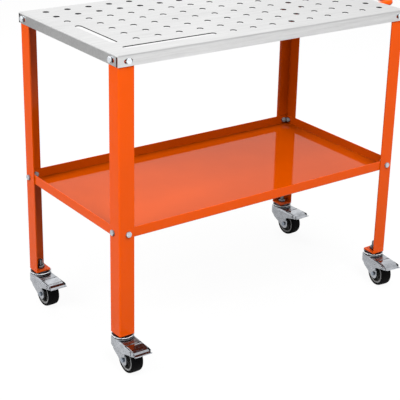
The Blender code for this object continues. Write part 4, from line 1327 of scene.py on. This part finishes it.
def make_stage(settings):
    """White floor, soft studio lights and the camera."""
    scene = bpy.context.scene
    scene.view_settings.view_transform = "Standard"
    make_floor()
    make_world(scene)
    for name, (place, power) in LAMPS.items():
        soft_light(name, Vector(place), power)
    camera = bpy.data.objects.new("photo_camera", bpy.data.cameras.new("photo_camera"))
    scene.collection.objects.link(camera)
    camera.data.sensor_width = 36.0
    camera.data.lens = settings.lens
    camera.data.shift_x = settings.shift[0]
    camera.data.shift_y = settings.shift[1]
    camera.data.clip_end = 100.0
    right = Vector(settings.camera_right).normalized()
    ahead = Vector(settings.camera_ahead).normalized()
    up = right.cross(ahead)
    turn = Matrix((right, up, -ahead)).transposed().to_4x4()
    origin = Vector((MIDDLE.x, MIDDLE.y, TOP_HIGH.z)) + Vector(settings.camera_place)
    camera.matrix_world = Matrix.Translation(origin) @ turn
    scene.camera = camera


def make_floor():
    """A wide pale floor that shows white to the camera and keeps a faint shadow."""
    bm = bmesh.new()
    bmesh.ops.create_grid(bm, x_segments=1, y_segments=1, size=FLOOR_HALF)
    mesh = bpy.data.meshes.new("studio_floor")
    bm.to_mesh(mesh)
    bm.free()
    floor = bpy.data.objects.new("studio_floor", mesh)
    bpy.context.scene.collection.objects.link(floor)
    floor.location.z = -FLOOR_DROP
    material = bpy.data.materials.new("white_floor")
    made = NodeTree(material)
    made.tree.nodes.clear()
    seen = made.seen_directly()
    pale = made.blend(seen, (0.18, 0.18, 0.18), (0.95, 0.95, 0.95))
    paint = made.node("ShaderNodeBsdfDiffuse", {"Color": pale})
    glow = made.node("ShaderNodeEmission", {"Color": WHITE, "Strength": floor_glow(made)})
    part = made.calculate("MULTIPLY", seen, 0.6)
    share_of_glow = made.calculate("MULTIPLY_ADD", made.rays()["Is Camera Ray"], 0.33, part)
    made.node("ShaderNodeOutputMaterial", {"Surface": made.mixed(share_of_glow, paint, glow)})
    mesh.materials.append(material)


def floor_glow(made):
    """White to the camera; to gloss, a floor that falls off towards the unlit back left."""
    place = made.node("ShaderNodeNewGeometry").outputs["Position"]
    fall = made.ranged(made.measure("DOT_PRODUCT", place, (0.64, -0.77, 0.0)), 0.0, 0.70, -2.0, 1.4)
    near = made.ranged(made.measure("LENGTH", place), 0.12, 0.0, 0.5, 1.6)
    return made.white_to_camera(made.calculate("ADD", fall, near))


def make_world(scene):
    """Soft even light from all round, white to the camera and a little darker to gloss at the front right."""
    world = bpy.data.worlds.new("white_studio")
    made = NodeTree(world)
    made.tree.nodes.clear()
    place = made.node("ShaderNodeTexCoord").outputs["Generated"]
    fall = made.ranged(made.measure("DOT_PRODUCT", place, (0.84, -0.54, 0.0)), 1.0, 0.62, 0.06, 0.5)
    soft = made.node("ShaderNodeBackground", {"Color": WHITE, "Strength": 0.55})
    white = made.node("ShaderNodeBackground", {"Color": WHITE, "Strength": made.white_to_camera(fall)})
    made.node("ShaderNodeOutputWorld", {"Surface": made.mixed(made.seen_directly(), soft, white)})
    scene.world = world


def soft_light(name, place, power):
    """A large square softbox aimed at the table, left out of reflections."""
    light = bpy.data.lights.new(name, "AREA")
    light.shape = "SQUARE"
    light.size = LAMP_SIZE
    light.energy = power
    lamp = bpy.data.objects.new(name, light)
    bpy.context.scene.collection.objects.link(lamp)
    lamp.location = place
    lamp.visible_glossy = False
    lamp.rotation_euler = (LAMP_TARGET - place).to_track_quat("-Z", "Y").to_euler()


# Operators

class TableOperator:
    """Shared base: runs a maker on one group of settings."""
    bl_options = {"REGISTER", "UNDO"}
    group = ""
    maker = None

    def execute(self, context):
        """Make the pieces."""
        type(self).maker(getattr(context.scene.welding_table, self.group))
        return {"FINISHED"}


class TABLE_OT_top(TableOperator, bpy.types.Operator):
    """Make the folded perforated top"""
    bl_idname = "welding_table.top"
    bl_label = "Steel Top"
    group = "top"
    maker = make_top


class TABLE_OT_legs(TableOperator, bpy.types.Operator):
    """Make the four angle legs"""
    bl_idname = "welding_table.legs"
    bl_label = "Angle Legs"
    group = "legs"
    maker = make_legs


class TABLE_OT_tray(TableOperator, bpy.types.Operator):
    """Make the lower tray"""
    bl_idname = "welding_table.tray"
    bl_label = "Lower Tray"
    group = "legs"
    maker = make_tray


class TABLE_OT_handle(TableOperator, bpy.types.Operator):
    """Make the push handle"""
    bl_idname = "welding_table.handle"
    bl_label = "Push Handle"
    group = "legs"
    maker = make_handle


class TABLE_OT_bolts(TableOperator, bpy.types.Operator):
    """Make the hexagon bolts"""
    bl_idname = "welding_table.bolts"
    bl_label = "Hexagon Bolts"
    group = "bolts"
    maker = make_bolts


class TABLE_OT_stems(TableOperator, bpy.types.Operator):
    """Make the caster studs, race caps and nuts"""
    bl_idname = "welding_table.stems"
    bl_label = "Caster Stems"
    group = "casters"
    maker = make_stems


class TABLE_OT_forks(TableOperator, bpy.types.Operator):
    """Make the pressed forks and wheel bolts"""
    bl_idname = "welding_table.forks"
    bl_label = "Caster Forks"
    group = "casters"
    maker = make_forks


class TABLE_OT_wheels(TableOperator, bpy.types.Operator):
    """Make the hubs and tyres"""
    bl_idname = "welding_table.wheels"
    bl_label = "Wheels"
    group = "casters"
    maker = make_wheels


class TABLE_OT_pedals(TableOperator, bpy.types.Operator):
    """Make the brake pedals"""
    bl_idname = "welding_table.pedals"
    bl_label = "Brake Pedals"
    group = "casters"
    maker = make_pedals


class TABLE_OT_stage(TableOperator, bpy.types.Operator):
    """Set the floor, lights and camera"""
    bl_idname = "welding_table.stage"
    bl_label = "Stage"
    group = "stage"
    maker = make_stage


OPERATORS = (
    TABLE_OT_top, TABLE_OT_legs, TABLE_OT_tray, TABLE_OT_handle, TABLE_OT_bolts, TABLE_OT_stems,
    TABLE_OT_forks, TABLE_OT_wheels, TABLE_OT_pedals, TABLE_OT_stage,
)


class TABLE_PT_panel(bpy.types.Panel):
    """Lists the makers in the sidebar"""
    bl_idname = "TABLE_PT_panel"
    bl_label = "Welding Table"
    bl_space_type = "VIEW_3D"
    bl_region_type = "UI"
    bl_category = "Welding Table"

    def draw(self, context):
        """Show one button for each group of pieces."""
        for operator in OPERATORS:
            self.layout.operator(operator.bl_idname)


CLASSES = (
    TableTopSettings, FrameSettings, BoltSettings, CasterSettings, FinishSettings, StageSettings,
    WeldingTableSettings, *OPERATORS, TABLE_PT_panel,
)


def register():
    """Add the classes and the settings to Blender."""
    for cls in CLASSES:
        bpy.utils.register_class(cls)
    bpy.types.Scene.welding_table = PointerProperty(type=WeldingTableSettings)


def unregister():
    """Take the settings and the classes out again."""
    del bpy.types.Scene.welding_table
    for cls in reversed(CLASSES):
        bpy.utils.unregister_class(cls)


def main():
    """Make every piece and the stage."""
    register()
    table = bpy.ops.welding_table
    table.top()
    table.legs()
    table.tray()
    table.handle()
    table.bolts()
    table.stems()
    table.forks()
    table.wheels()
    table.pedals()
    table.stage()
    bpy.context.view_layer.update()


if __name__ == "__main__":
    main()
